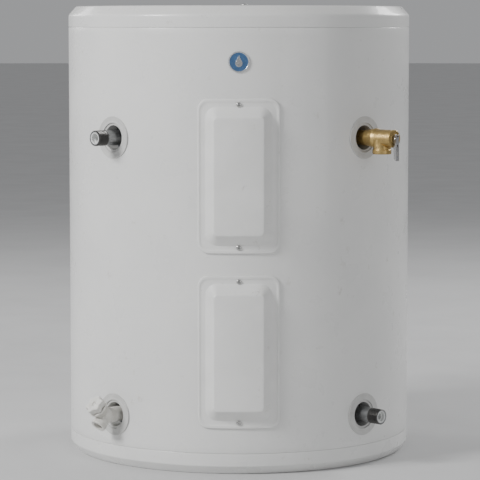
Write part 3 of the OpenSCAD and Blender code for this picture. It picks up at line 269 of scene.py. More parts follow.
SLOT_FINISHES = {
    "white_enamel": ((0.79, 0.79, 0.775), (0.745, 0.747, 0.737), (0.26, 0.36), 0, 7, 330, 0.035,
        {"scuff": (0.81, 38, (0.64, 0.63, 0.605)), "coat": 0.25, "dust": 0.35}),
    "trim_plastic": ((0.6, 0.6, 0.585), (0.54, 0.54, 0.525), (0.4, 0.52), 0, 60, 1500, 0.03,
        {"scuff": (0.8, 60, (0.5, 0.48, 0.44))}),
    "cover_white": ((0.81, 0.81, 0.795), (0.76, 0.76, 0.745), (0.34, 0.46), 0, 16, 1100, 0.03,
        {"scuff": (0.8, 46, (0.6, 0.585, 0.56)), "coat": 0.1}),
    "badge_metal": ((0.055, 0.13, 0.27), (0.044, 0.104, 0.216), (0.18, 0.3), None, 120, 2500, 0.01,
        {"coat": 0.5, "tint": ("raised", (0.78, 0.79, 0.8))}),
    "tank_steel": ((0.07, 0.085, 0.1), (0.11, 0.12, 0.13), (0.45, 0.65), 0.4, 12, 500, 0.06,
        {"scuff": (0.7, 60, (0.2, 0.11, 0.06))}),
    "foam": ((0.72, 0.6, 0.3), (0.8, 0.7, 0.42), (0.85, 0.95), 0, 45, 700, 0.6, {}),
    # zinc_pipe: its "threaded" tint paints the threaded band near-black, which is painted shade of the thread
    # grooves rather than the colour of cut steel
    "zinc_pipe": ((0.5, 0.51, 0.52), (0.38, 0.39, 0.4), (0.26, 0.44), 1, 140, 1800, 0.02,
        {"stretch": (1, 1, 3), "scuff": (0.74, 130, (0.3, 0.27, 0.23)),
        "tint": ("threaded", (0.1, 0.098, 0.095))}),
    "liner_plastic": ((0.72, 0.73, 0.72), (0.65, 0.66, 0.65), (0.4, 0.5), 0, 80, 1500, 0.02, {}),
    "anode_magnesium": ((0.42, 0.42, 0.41), (0.3, 0.3, 0.29), (0.5, 0.7), 0.8, 60, 500, 0.15, {}),
    "plug_steel": ((0.52, 0.52, 0.53), (0.4, 0.4, 0.41), (0.3, 0.46), 1, 90, 1500, 0.03,
        {"scuff": (0.72, 120, (0.25, 0.2, 0.15))}),
    "galvanised_steel": ((0.56, 0.58, 0.6), (0.4, 0.42, 0.44), (0.36, 0.52), 0.9, 60, 900, 0.03,
        {"flakes": 110, "scuff": (0.76, 50, (0.62, 0.63, 0.62))}),
    "screw_steel": ((0.58, 0.58, 0.57), (0.46, 0.46, 0.45), (0.2, 0.34), 1, 260, 2500, 0.012,
        {"scuff": (0.75, 300, (0.25, 0.22, 0.18))}),
    "ground_green": ((0.03, 0.22, 0.06), (0.02, 0.15, 0.04), (0.25, 0.4), 0.5, 300, 2500, 0.01, {}),
    "wire_insulation": ((0.42, 0.02, 0.015), (0.34, 0.015, 0.01), (0.32, 0.42), 0, 120, 1800, 0.015,
        {"tint": ("black_wire", (0.015, 0.015, 0.016))}),
    "element_sheath": ((0.16, 0.155, 0.15), (0.23, 0.2, 0.17), (0.42, 0.6), 0.9, 70, 1400, 0.03, {}),
    "terminal_block": ((0.035, 0.025, 0.02), (0.06, 0.042, 0.032), (0.34, 0.5), 0, 240, 1600, 0.03,
        {"scuff": (0.78, 160, (0.13, 0.1, 0.08))}),
    "gasket_rubber": ((0.015,) * 3, (0.028,) * 3, (0.6, 0.8), 0, 120, 1500, 0.04, {}),
    "terminal_brass": ((0.62, 0.43, 0.15), (0.5, 0.34, 0.12), (0.22, 0.38), 1, 260, 2500, 0.015, {}),
    "dial_plastic": ((0.7, 0.66, 0.52), (0.64, 0.6, 0.46), (0.35, 0.46), 0, 160, 1800, 0.02, {}),
    "button_red": ((0.5, 0.018, 0.012), (0.42, 0.014, 0.01), (0.22, 0.32), 0, 200, 2200, 0.01,
        {"coat": 0.3}),
    "pad_fibre": ((0.78, 0.66, 0.3), (0.86, 0.78, 0.5), (0.85, 1.0), 0, 70, 900, 1.2,
        {"stretch": (1, 1, 0.25), "sheen": 0.25, "scuff": (0.68, 150, (0.6, 0.47, 0.18))}),
    "valve_brass": ((0.56, 0.4, 0.16), (0.43, 0.3, 0.12), (0.3, 0.48), 1, 70, 850, 0.09,
        {"scuff": (0.74, 110, (0.22, 0.15, 0.08))}),
    "stem_steel": ((0.6, 0.6, 0.61), (0.5, 0.5, 0.51), (0.18, 0.28), 1, 180, 2600, 0.01, {}),
    "lever_steel": ((0.58,) * 3, (0.44, 0.44, 0.45), (0.26, 0.4), 1, 120, 1700, 0.03,
        {"stretch": (1, 1, 0.4), "scuff": (0.74, 170, (0.33, 0.3, 0.26))}),
    "drain_plastic": ((0.74, 0.725, 0.68), (0.67, 0.655, 0.61), (0.36, 0.5), 0, 110, 1300, 0.03,
        {"scuff": (0.77, 150, (0.47, 0.44, 0.38))}),
    "knob_plastic": ((0.77, 0.76, 0.72), (0.71, 0.7, 0.66), (0.33, 0.45), 0, 110, 1500, 0.025,
        {"scuff": (0.78, 170, (0.45, 0.43, 0.38))}),
}


# ---------- surfaces ----------

def smooth(x):
    """Rises from 0 to 1 with flat ends: 3x^2 - 2x^3."""
    x = np.clip(x, 0, 1)
    return x * x * (3 - 2 * x)


def soften(corners, cut, steps=5, closed=False):
    """Rounds the corners of an outline.

    Each corner P becomes the curve (1-s)^2 A + 2s(1-s) P + s^2 B, where A and B lie on its two
    sides, `cut` away from it or less than half of the side.
    """
    p = np.asarray(corners, float)
    before, after = np.roll(p, 1, 0) - p, np.roll(p, -1, 0) - p
    length_a = np.linalg.norm(before, axis=1, keepdims=True)
    length_b = np.linalg.norm(after, axis=1, keepdims=True)
    a = p + before * np.minimum(cut / np.maximum(length_a, 1e-9), 0.48)
    b = p + after * np.minimum(cut / np.maximum(length_b, 1e-9), 0.48)
    s = np.linspace(0, 1, steps)[None, :, None]
    curves = (1 - s) ** 2 * a[:, None] + 2 * s * (1 - s) * p[:, None] + s ** 2 * b[:, None]
    if closed:
        return curves.reshape(-1, p.shape[1])
    return np.concatenate([p[:1], curves[1:-1].reshape(-1, p.shape[1]), p[-1:]])


def quads(points, wrap_u=False, wrap_v=False):
    """Quads between neighbours of a grid of points. A wrapped direction joins up with its start."""
    rows, columns = points.shape[:2]
    i = np.arange(rows if wrap_u else rows - 1)[:, None]
    j = np.arange(columns if wrap_v else columns - 1)[None, :]
    i_next, j_next = (i + 1) % rows, (j + 1) % columns
    faces = np.stack([i * columns + j, i_next * columns + j,
                      i_next * columns + j_next, i * columns + j_next], -1)
    return points.reshape(-1, 3), faces.reshape(-1, 4)


def around(count=SIDES):
    """Equal steps of a full turn."""
    return np.linspace(0, TAU, count, endpoint=False)


def circle(radius, x=0.0, y=0.0, count=96):
    """Points of a circle in a plane."""
    return np.stack([x + radius * np.cos(around(count)), y + radius * np.sin(around(count))], -1)


def polar(turn, rows, closed=False):
    """Surface about Z from rows of (radius, height), each a number or a value at every angle.

    x = r cos a, y = r sin a, z = height. A closed one joins its last row to its first.
    """
    radii, heights = (np.stack([np.broadcast_to(row[k], turn.shape) for row in rows], -1)
                      for k in (0, 1))
    across = np.stack([np.cos(turn), np.sin(turn)])[..., None]
    return quads(np.stack([*(radii * across), heights], -1), wrap_u=True, wrap_v=closed)


def turned(profile, sides=SIDES, closed=False):
    """Profile of (radius, height) turned about Z."""
    return polar(around(sides), profile, closed)


def thread(radius, depth, pitch, start, end):
    """Screw thread as one ribbon that winds round Z.

    Height = start - pitch + pitch * (turns + share), held between start and end. The radius
    falls by depth times a flat-topped wave of the share, which fades out at both ends.
    """
    share = np.array([0.0, 0.12, 0.44, 0.56, 0.88, 1.0])
    drop = np.array([0.0, 0.0, 1.0, 1.0, 0.0, 0.0])
    step = np.arange(int(math.ceil((end - start) / pitch + 1)) * SIDES + 1)[:, None]
    height = np.clip(start - pitch + pitch * (step / SIDES + share), start, end)
    fade = smooth((height - start) / (1.2 * pitch)) * smooth((end - height) / (0.5 * pitch))
    r = radius - depth * drop * fade
    turn = TAU * (step % SIDES) / SIDES
    return quads(np.stack([r * np.cos(turn), r * np.sin(turn), height], -1))


def threaded(before, radius, depth, pitch, start, end, after):
    """Turned profiles with a thread between them."""
    return [turned([*before, (radius, start)]), thread(radius, depth, pitch, start, end),
            turned([(radius, end), *after])]


def rounded_loops(rows, per_end=16, per_side=34, per_corner=9):
    """Rounded rectangles, one for each (width, height, corner radius) row, as (row, point, xy).

    A corner's points are its centre plus radius times (cos, sin); straight runs lie between.
    """
    w, h, r = np.asarray(rows, float).T[:3, :, None]
    r = np.minimum(r, np.minimum(w, h) / 2)
    corners, runs = [], []
    for index, (sx, sy) in enumerate([(1, 1), (-1, 1), (-1, -1), (1, -1)]):
        turn = math.pi / 2 * (index + np.linspace(0, 1, per_corner))
        corners.append(np.stack([sx * (w / 2 - r) + r * np.cos(turn),
                                 sy * (h / 2 - r) + r * np.sin(turn)], -1))
    for index, corner in enumerate(corners):
        begin, target = corner[:, -1:], corners[(index + 1) % 4][:, :1]
        s = np.linspace(0, 1, (per_end, per_side)[index % 2] + 1)[1:-1][None, :, None]
        runs += [corner, begin + (target - begin) * s]
    return np.concatenate(runs, 1)


def lofted(rows, **counts):
    """Points x, y and level of rounded rectangles given as (width, height, corner, level)."""
    rows = np.array(rows, float)
    x, y = np.moveaxis(rounded_loops(rows, **counts), -1, 0)
    return x, y, np.broadcast_to(rows[:, 3:], x.shape)


def shrunk(width, height, rows):
    """Rows for lofted() from rows of (less width, less height, corner, level)."""
    return [(width - a, height - b, corner, level) for a, b, corner, level in rows]


def closing(row, steps, rise=0.0):
    """Rows that close a rounded rectangle on a line up its middle, as its level rises and flattens."""
    w, h, corner, level = row
    return [(w * (1 - s), h - w * s, corner * (1 - s), level + rise * (1 - (1 - s) ** 3))
            for s in np.linspace(0.08, 1, steps)]


def wrapped_sheet(radius, across, up, holes, inset):
    """Sheet rolled round Z with rounded holes: x = r sin(u / R), y = -r cos(u / R).

    The flat sheet is a grid of quads. Each hole is (u, z, half width, half height, corner,
    patch half width, patch half height): the cells of its patch give way to rings of quads
    that run from the patch's edge to the hole's edge. `inset` gives how far a point lies
    inside the radius.
    """
    def roll(points):
        u, z = points[..., 0], points[..., 1]
        r = radius - inset(u, z)
        return np.stack([r * np.sin(u / radius), -r * np.cos(u / radius), z], -1)

    grid = np.stack(np.meshgrid(across, up, indexing="ij"), -1)
    middle_u = (across[:-1] + across[1:])[:, None] / 2
    middle_z = (up[:-1] + up[1:])[None, :] / 2
    kept = np.ones((across.size - 1, up.size - 1), bool)
    parts = []
    for u, z, half_w, half_h, corner, patch_w, patch_h in holes:
        kept &= ~((abs(middle_u - u) < patch_w) & (abs(middle_z - z) < patch_h))
        us = across[abs(across - u) <= patch_w + 1e-6]
        zs = up[abs(up - z) <= patch_h + 1e-6]
        edge = np.array([*((a, zs[0]) for a in us[:-1]), *((us[-1], b) for b in zs[:-1]),
                         *((a, zs[-1]) for a in us[:0:-1]), *((us[0], b) for b in zs[:0:-1])])
        centre = np.array([u, z])
        core = np.array([half_w - corner, half_h - corner])
        nearest = np.clip(edge - centre, -core, core)
        out = edge - centre - nearest
        rim = centre + nearest + corner * out / np.linalg.norm(out, axis=1, keepdims=True)
        s = np.linspace(0, 1, 6)[None, :, None]
        parts.append(quads(roll(edge[:, None] * (1 - s) + rim[:, None] * s), wrap_u=True))
    points, faces = quads(roll(grid))
    return [(points, faces[kept.ravel()]), *parts]


def tube_along(path, radius, sides=14):
    """Round tube along a path: each ring is centre + r (cos a * side + sin a * other).

    side is square to the path and to a fixed direction that the path never follows.
    """
    way = np.gradient(path, axis=0)
    way /= np.linalg.norm(way, axis=1, keepdims=True)
    side = np.cross(way, (1.0, 0.15, 0.1))
    side /= np.linalg.norm(side, axis=1, keepdims=True)
    other = np.cross(way, side)
    turn = around(sides)[None, :, None]
    rings = path[:, None] + radius * (np.cos(turn) * side[:, None] + np.sin(turn) * other[:, None])
    ends = [np.repeat(path[:1, None], sides, 1), rings, np.repeat(path[-1:, None], sides, 1)]
    return quads(np.concatenate(ends, 0), wrap_v=True)


def flowing(points, steps=14):
    """Smooth curve through given points (Catmull-Rom), `steps` points for each stretch."""
    p = np.asarray(points, float)
    p = np.concatenate([2 * p[:1] - p[1:2], p, 2 * p[-1:] - p[-2:-1]])
    a, b, c, d = (p[k:len(p) - 3 + k, None] for k in range(4))
    s = np.linspace(0, 1, steps, endpoint=False)[None, :, None]
    curve = 0.5 * (2 * b + (c - a) * s + (2 * a - 5 * b + 4 * c - d) * s ** 2
                   + (3 * b - a - 3 * c + d) * s ** 3)
    return np.concatenate([curve.reshape(-1, 3), p[-2:-1]])


# ---------- placing ----------

def aimed(origin, out, right):
    """Matrix that takes x to right, z to out and y to their cross product, at an origin."""
    matrix = np.eye(4)
    matrix[:3, :4] = np.stack([right, np.cross(out, right), out, origin], -1)
    return matrix


def put(matrix, *parts):
    """The same parts moved by a matrix."""
    return [(points @ matrix[:3, :3].T + matrix[:3, 3], faces) for points, faces in parts]


def port_frame(point):
    """Frame of a port on the tank's axis, from any point of the port's axis in metres."""
    x, y, z = point
    out = np.array([x, y, 0.0]) / math.hypot(x, y)
    return aimed([0, 0, z / MM], out, [-out[1], out[0], 0.0])


def tilted(base, s, tip):
    """Port frame moved s outwards and turned about its own x by an angle, upwards if positive."""
    right, up, out, origin = (base[:3, k] for k in range(4))
    return aimed(origin + s * out, math.cos(tip) * out + math.sin(tip) * up, right)


def front_frame(z, s=0.0):
    """Frame on the front of the heater at a height, s away from the tank's axis."""
    return aimed([0, -s, z], [0, -1, 0], [1, 0, 0])


def upright(x, y, z):
    """Frame that stands upright at a place."""
    return aimed([x, y, z], [0, 0, 1], [1, 0, 0])


def box_of(node):
    """Lowest and highest corners of a CAD node, in millimetres."""
    low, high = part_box(node)
    return np.array(low) / MM, np.array(high) / MM


def middle_of(node):
    """Middle of a CAD node's box, in millimetres."""
    return sum(box_of(node)) / 2


# ---------- making pieces ----------

def mesh_from(name, parts, closed=True, inside=None):
    """One mesh from parts in millimetres, with shared points merged and faces turned outwards.

    An open skin gets its sense from a point that lies inside it.
    """
    offsets = np.cumsum([0] + [len(points) for points, _ in parts])
    points = np.concatenate([points for points, _ in parts]) * MM
    faces = [face for (_, part), start in zip(parts, offsets)
             for face in (np.asarray(part) + start).tolist()]
    mesh = bpy.data.meshes.new(name)
    mesh.from_pydata(points.tolist(), [], faces)
    grown = bmesh.new()
    grown.from_mesh(mesh)
    bmesh.ops.remove_doubles(grown, verts=grown.verts, dist=2e-6)
    bmesh.ops.dissolve_degenerate(grown, edges=grown.edges, dist=1e-7)
    bmesh.ops.recalc_face_normals(grown, faces=grown.faces)
    if not closed:
        middle = np.array([list(face.calc_center_median()) for face in grown.faces])
        normal = np.array([list(face.normal) for face in grown.faces])
        area = np.array([face.calc_area() for face in grown.faces])
        if ((middle - np.asarray(inside) * MM) * normal).sum(1) @ area < 0:
            bmesh.ops.reverse_faces(grown, faces=grown.faces)
    grown.to_mesh(mesh)
    grown.free()
    return mesh


def object_from(name, mesh):
    """New object in the scene that shows a mesh."""
    piece = bpy.data.objects.new(name, mesh)
    bpy.context.scene.collection.objects.link(piece)
    return piece


def studio_floor():
    """Flat disc of plain pale floor, far wider than the heater and just below it."""
    radius, drop = 40.0, 0.0002
    rim = circle(radius)
    mesh = bpy.data.meshes.new("floor")
    mesh.from_pydata([(x, y, -drop) for x, y in rim], [], [list(range(len(rim)))])
    mesh.materials.append(finish("floor_paint", (0.6,) * 3, (0.57,) * 3, (0.55, 0.7), 0, 3, 120, 0.05))
    object_from("floor", mesh)


def settle(piece, *nodes, sharp=32):
    """Finishes a piece: its material, its edges, its body and the CAD nodes that it stands for."""
    mesh = piece.data
    mesh.materials.clear()
    mesh.materials.append(FINISH[SLOT_OF[nodes[0]]])
    mesh.shade_smooth()
    mesh.set_sharp_from_angle(angle=math.radians(sharp))
    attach(piece, BODY_OF[nodes[0]])
    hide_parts(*nodes)
    return piece


def place_of(mesh):
    """Every point of a mesh, in millimetres."""
    place = np.empty(len(mesh.vertices) * 3)
    mesh.vertices.foreach_get("co", place)
    return place.reshape(-1, 3) / MM


def mark(mesh, name, values):
    """Point attribute that a finish reads, from 0 to 1."""
    mesh.attributes.new(name, "FLOAT", "POINT").data.foreach_set("value", values.astype(np.float32))


def sharpen_rims(mesh):
    """Marks the free edges of an open skin as sharp, so that its wall keeps a crisp rim."""
    edge_of = np.empty(len(mesh.loops), np.int32)
    mesh.loops.foreach_get("edge_index", edge_of)
    free = np.bincount(edge_of, minlength=len(mesh.edges)) == 1
    flags = np.empty(len(mesh.edges), bool)
    mesh.edges.foreach_get("use_edge_sharp", flags)
    mesh.edges.foreach_set("use_edge_sharp", flags | free)


def make(name, parts, *nodes, sharp=32, wall=None, inside=(0, 0, 400)):
    """Piece from parts. With a wall, the parts are its outer skin and the wall grows inwards."""
    piece = object_from(name, mesh_from(name, parts, closed=wall is None, inside=inside))
    settle(piece, *nodes, sharp=sharp)
    if wall:
        sharpen_rims(piece.data)
        shell = piece.modifiers.new("wall", "SOLIDIFY")
        shell.thickness = wall * MM
        shell.offset = -1
        shell.use_even_offset = True
    return piece


def carved(name, solids, cuts):
    """Union of closed solids less the cuts, each one a list of parts. Worked out exactly."""
    base = object_from(name, mesh_from(name, solids[0]))
    helpers = []
    for operation, group in (("UNION", solids[1:]), ("DIFFERENCE", cuts)):
        for parts in group:
            helper = object_from("helper", mesh_from("helper", parts))
            helpers.append(helper)
            step = base.modifiers.new(operation.lower(), "BOOLEAN")
            step.operation = operation
            step.object = helper
            step.solver = "EXACT"
    bpy.context.view_layer.update()
    graph = bpy.context.evaluated_depsgraph_get()
    mesh = bpy.data.meshes.new_from_object(base.evaluated_get(graph))
    base.modifiers.clear()
    base.data = mesh
    for helper in helpers:
        bpy.data.objects.remove(helper)
    return base


def eased(node, width):
    """Copy of a CAD node with flat faces made whole and its sharp edges rounded by a bevel."""
    piece = object_from(node + "_eased", frame["nodes"][node].data.copy())
    grown = bmesh.new()
    grown.from_mesh(piece.data)
    bmesh.ops.remove_doubles(grown, verts=grown.verts, dist=2e-6)
    bmesh.ops.dissolve_limit(grown, angle_limit=math.radians(0.6), verts=grown.verts, edges=grown.edges)
    grown.to_mesh(piece.data)
    grown.free()
    for attribute in [a.name for a in piece.data.attributes if a.name.startswith("custom_normal")]:
        piece.data.attributes.remove(piece.data.attributes[attribute])
    ease = piece.modifiers.new("ease", "BEVEL")
    ease.width = width * MM
    ease.segments = 2
    ease.limit_method = "ANGLE"
    ease.angle_limit = math.radians(40)
    ease.use_clamp_overlap = True
    settle(piece, node, sharp=38)


# ---------- measures read from the frame ----------

(_, _, SEAM_LOW), (R, _, SEAM_HIGH) = box_of("jacket")
CAP_LOW, CAP_TOP = (corner[2] for corner in box_of("top_cap"))
COVER_Z = {name: middle_of(name)[2] for name in ("upper_cover", "lower_cover")}
HOT = port_frame(MOUNT["hot_outlet"]["pos_m"])
COLD = port_frame(MOUNT["cold_inlet"]["pos_m"])
RELIEF = port_frame(JOINT["relief_lever_turn"]["pos_m"])
DRAIN = port_frame([*MOUNT["drain_hose"]["pos_m"][:2], MOUNT["cold_inlet"]["pos_m"][2]])
DRAIN_MIDDLE = tilted(DRAIN, 329.0, 0)
DRAIN_NECK = tilted(DRAIN, 329.0, math.radians(42))
PORTS = [HOT, RELIEF, DRAIN, COLD]
PIPE_R = MOUNT["hot_outlet"]["dims"]["r_mm"]
PIPE_END = R + 42
PIPE_PITCH, HOSE_PITCH, NECK_PITCH = 1.814, 2.209, 1.6
BACK = 262.0
LAP = R - 1.2
SKIN = 1.0
TOUCH = 0.02


# ---------- cabinet ----------

def spaced(breaks, step):
    """Grid lines through all the breaks, with equal steps between them no longer than `step`."""
    breaks = np.unique(np.round(breaks, 6))
    runs = [np.linspace(a, b, max(2, int(math.ceil((b - a) / step)) + 1))[:-1]
            for a, b in zip(breaks[:-1], breaks[1:])]
    return np.concatenate([*runs, breaks[-1:]])


def jacket():
    """Rolled jacket: curled edges, holes for ports, bays and screws, and a lock seam behind."""
    girth = math.pi * R
    seam_half, seam_step, seam_depth = 7.0, 0.8, 0.8
    curl, curl_h = 0.4, 0.8
    sleeve, port_patch = 26.2, 42.0
    bay = (54.1, 109.3, 12.0, 66.0, 113.8)
    screw_r, screw_patch = 1.95, (6.0, 3.4)
    holes = []
    for port in PORTS:
        u = R * math.atan2(port[0, 2], -port[1, 2])
        holes.append((u, port[2, 3], sleeve, sleeve, sleeve, port_patch, port_patch))
    for node, z in COVER_Z.items():
        holes.append((0.0, z, *bay))
        low, high = box_of(node + "_screws")
        head = (high[0] - low[0]) / 2
        for screw_z in (low[2] + head, high[2] - head):
            holes.append((0.0, screw_z, screw_r, screw_r, screw_r, *screw_patch))
    across = [-girth, -girth + seam_step, -girth + seam_half, -girth + seam_half + seam_step,
              girth - seam_half - seam_step, girth - seam_half, girth - seam_step, girth]
    up = [SEAM_LOW, SEAM_LOW + curl_h / 3, SEAM_LOW + curl_h,
          SEAM_HIGH - curl_h, SEAM_HIGH - curl_h / 3, SEAM_HIGH]
    for u, z, _, _, _, patch_w, patch_h in holes:
        across += [u - patch_w, u + patch_w]
        up += [z - patch_h, z + patch_h]

    def inset(u, z):
        edge = np.minimum(z - SEAM_LOW, SEAM_HIGH - z) / curl_h
        back = girth - abs(u)
        fold = smooth((seam_half + seam_step - back) / seam_step)
        slit = 0.9 * (back < seam_step / 2)
        return curl * np.clip(1 - edge, 0, 1) ** 2 + seam_depth * fold + slit

    parts = wrapped_sheet(R, spaced(across, 7.5), spaced(up, 12.0), holes, inset)
    make("jacket_skin", parts, "jacket", wall=SKIN)


def base_pan():
    """Turned pan: flat floor with a raised ring, sloping foot, side and the lap inside the jacket."""
    ring, ring_h = 0.55 * R, 3.0
    foot, foot_h = R - 11, 14.4
    lap_top, side_top = box_of("base_pan")[1][2], SEAM_LOW - 0.6
    profile = [
        (0, 0), (ring, 0), (ring + 3, ring_h), (ring + 15, ring_h), (ring + 18, 0), (foot, 0),
        (R, foot_h), (R, side_top), (LAP, side_top), (LAP, lap_top), (LAP - SKIN, lap_top),
        (LAP - SKIN, side_top - SKIN), (R - SKIN, side_top - SKIN), (R - SKIN, foot_h + 0.4),
        (foot - 0.5, SKIN), (ring + 18.5, SKIN), (ring + 15.5, ring_h + SKIN),
        (ring + 2.5, ring_h + SKIN), (ring - 0.5, SKIN), (0, SKIN)]
    make("base_pan_pressing", [turned(soften(profile, 1.6), sides=240)], "base_pan")


def top_cap():
    """Pressed cap: flat disc with three openings, a stiffening groove, sloped edge and its lap."""
    sides, flat_r, plug_r = 240, 200.0, 22.0
    groove_in, groove_out, groove_d = 262.0, 271.0, 1.0
    bottom = SEAM_HIGH + 0.6
    profile = [
        (flat_r, CAP_TOP), (groove_in, CAP_TOP), (groove_in + 2.5, CAP_TOP - groove_d),
        (groove_out - 2.5, CAP_TOP - groove_d), (groove_out, CAP_TOP), (R - 14, CAP_TOP),
        (R - 1.1, CAP_TOP - 14.6), (R, CAP_TOP - 17.5), (R, bottom), (LAP, bottom), (LAP, CAP_LOW)]
    conduit = MOUNT["conduit"]
    loops = [circle(flat_r, count=sides),
             rounded_loops([(64.0, 70.0, 6.0)])[0] + middle_of("junction_cover")[:2],
             circle(plug_r, *middle_of("anode_cover_plug")[:2]),
             circle(conduit["dims"]["r_mm"], *(np.array(conduit["pos_m"][:2]) / MM))]
    flat = np.concatenate(loops)
    faces = tessellate_polygon([[(x, y, 0.0) for x, y in loop] for loop in loops])
    disc = (np.column_stack([flat, np.full(len(flat), CAP_TOP)]), np.array(faces))
    rim = turned(soften(profile, 2.2, steps=7), sides)
    make("top_cap_pressing", [rim, disc], "top_cap", wall=SKIN)


def on_jacket(radius, turn):
    """Level of the jacket on a curve round an axis square to it: sqrt(R^2 - (r cos a)^2)."""
    return np.sqrt(R ** 2 - (radius * np.cos(turn)) ** 2)


def trim_ring(port):
    """Flat ring round a port: domed face, coned mouth, and a skirt that follows the jacket."""
    turn = around()
    bore, sleeve, outer = 21.2, 26.0, 37.0
    face, sleeve_back, gap = R + 1.0, R - 24.8, 0.01
    rows = [
        (bore, sleeve_back), (bore, face - 2.8), (21.45, face - 2.5), (24.6, face - 2.3), (25.0, face - 2.0),
        (25.1, face - 0.5), (25.4, face - 0.1), (26.0, face), (27.4, face), (28.0, face - 0.15),
        (28.4, face - 0.45), (29.2, face - 0.5), (34.8, face - 0.5), (35.6, face - 0.3),
        (36.2, face - 0.26), (36.8, face - 0.45), (outer, face - 0.8),
        (outer, on_jacket(outer, turn) + gap), (sleeve, on_jacket(sleeve, turn) + gap), (sleeve, sleeve_back)]
    return put(port, polar(turn, rows, closed=True))


def badge():
    """Disc with a raised rim and a raised water drop.

    About the drop's middle the drop's edge is its round radius, or tip * sin(a) / sin(a + turn)
    along its straight sides; the rows of points run from that edge to the rim's circle.
    """
    low, high = box_of("badge")
    disc_r, drop_r, tip, below = (high[0] - low[0]) / 2, 6.0, 13.0, 2.5
    top, field = -low[1], -low[1] - 0.6
    turn = around(256)
    lean = math.asin(drop_r / tip)
    off = abs((turn - math.pi / 2 + math.pi) % TAU - math.pi)
    straight = tip * math.sin(lean) / np.sin(np.minimum(lean + off, math.pi / 2))
    drop = np.where(off < math.pi / 2 - lean, straight, drop_r)

    def rim(radius):
        return below * np.sin(turn) + np.sqrt(radius ** 2 - (below * np.cos(turn)) ** 2)

    field_w = rim(disc_r - 1.8) - drop - 0.5
    rows = [(0, top), (0.5 * drop, top), (drop - 0.5, top), (drop - 0.15, top - 0.06),
            (drop + 0.05, field + 0.1), (drop + 0.25, field)]
    rows += [(drop + 0.25 + field_w * s, field - 0.12 * math.sin(math.pi * s))
             for s in np.linspace(0.15, 1, 6)]
    rows += [(rim(disc_r - inset), level) for inset, level in [
        (1.55, field + 0.25), (1.4, top - 0.08), (1.1, top), (0.45, top), (0.1, top - 0.15), (0, top - 0.5)]]
    rows += [(rim(disc_r), on_jacket(rim(disc_r), turn) + TOUCH), (0, R + TOUCH)]
    parts = put(front_frame((low[2] + high[2]) / 2 - below), polar(turn, rows))
    piece = make("badge_disc", parts, "badge", sharp=50)
    proud = -place_of(piece.data)[:, 1]
    mark(piece.data, "raised", smooth((proud - field - 0.03) / 0.12))


def access_cover(node):
    """Moulded cover: rolled edge, flange, sloping sides and a curved front.

    Its rounded rectangles lie on cylinders: y = -sqrt(level^2 - x^2), where level is the distance
    from the tank's axis. The last ones close on a line up the middle.
    """
    low, high = box_of(node)
    w, _, h = high - low
    front, edge = -low[1], R + 3.2
    flange = edge - 0.5
    foot = np.array([111.2, 232.6, 20.0, flange + 1.3])
    face = np.array([86.8, 201.2, 7.5, front - 1.3])
    rows = shrunk(w, h, [
        (0, 0, 18.7, R + 0.3), (0, 0, 18.7, edge - 1.4), (0.5, 0.5, 18.5, edge - 0.6),
        (1.4, 1.4, 18.1, edge - 0.15), (2.6, 2.6, 17.5, edge), (6.0, 9.2, 15.8, edge),
        (7.2, 10.8, 15.2, edge - 0.12), (8.0, 11.8, 14.9, flange), (14.0, 17.0, 16.5, flange)])
    rows += shrunk(*foot[:2], [
        (-4.6, -4.6, 21.6, flange), (-2.4, -2.4, 20.8, flange + 0.25), (-0.8, -0.6, 20.0, flange + 1.3)])
    rows += [foot + (face - foot) * s for s in (0.12, 0.3, 0.5, 0.7, 0.88)]
    rows += shrunk(*face[:2], [
        (-1.2, -1.5, 7.9, front - 1.5), (0.1, 0.1, 7.5, front - 0.75),
        (1.6, 1.9, 7.0, front - 0.22), (3.6, 4.2, 6.2, front)])
    x, z, level = lofted(rows + closing(rows[-1], 13))
    skin = np.stack([x, -np.sqrt(level ** 2 - x ** 2), z + COVER_Z[node]], -1)
    make(node + "_moulding", [quads(skin, wrap_v=True)], node, wall=1.4,
         inside=(0, -R, COVER_Z[node]), sharp=50)


# ---------- screws ----------

def cross_screw(head_r, head_h, shank_l):
    """Pan-head screw with a plain shank, its seat at z = 0.

    The recess is a cross: at an angle t from the nearest arm its edge lies at
    min(arm / cos t, half width / sin t).
    """
    shank_r, arm, half, rim_h = 1.9, 0.62 * head_r, 0.13 * head_r, 0.42 * head_h
    dome = 1.02
    corner = math.atan2(half, arm)
    eighth = [0, corner * 0.5, corner * 0.98, corner * 1.02, 0.3, 0.45, *np.linspace(0.6, math.pi / 4, 3)]
    quarter = np.array(eighth + [math.pi / 2 - angle for angle in eighth[-2:0:-1]])
    turn = np.concatenate([quarter + k * math.pi / 2 for k in range(4)])
    t = abs((turn + math.pi / 4) % (math.pi / 2) - math.pi / 4)
    cross = np.minimum(arm / np.cos(t), half / np.maximum(np.sin(t), 1e-6))
    rows = [(0, -shank_l), (shank_r, -shank_l), (shank_r, 0), (head_r * 0.96, 0), (head_r, 0.12)]
    rows += [(head_r * math.cos(a), rim_h + (head_h - rim_h) * math.sin(a) / math.sin(dome))
             for a in np.linspace(0, dome, 8)]
    rows += [(cross * 1.06, head_h), (cross, head_h - 0.12), (cross * 0.86, head_h - 1.2), (0, head_h - 1.35)]
    return polar(turn, rows)


def screws(name, node, seat, proud, shank_l, axis):
    """Two screws of a cover, one at each end of the node's box along an axis."""
    low, high = box_of(node)
    head_r = (high[0] - low[0]) / 2
    parts = []
    for place in (low[axis] + head_r, high[axis] - head_r):
        at = front_frame(place, seat) if axis == 2 else upright(low[0] + head_r, place, seat)
        parts += put(at, cross_screw(head_r, proud - seat, shank_l))
    make(name, parts, node, sharp=40)


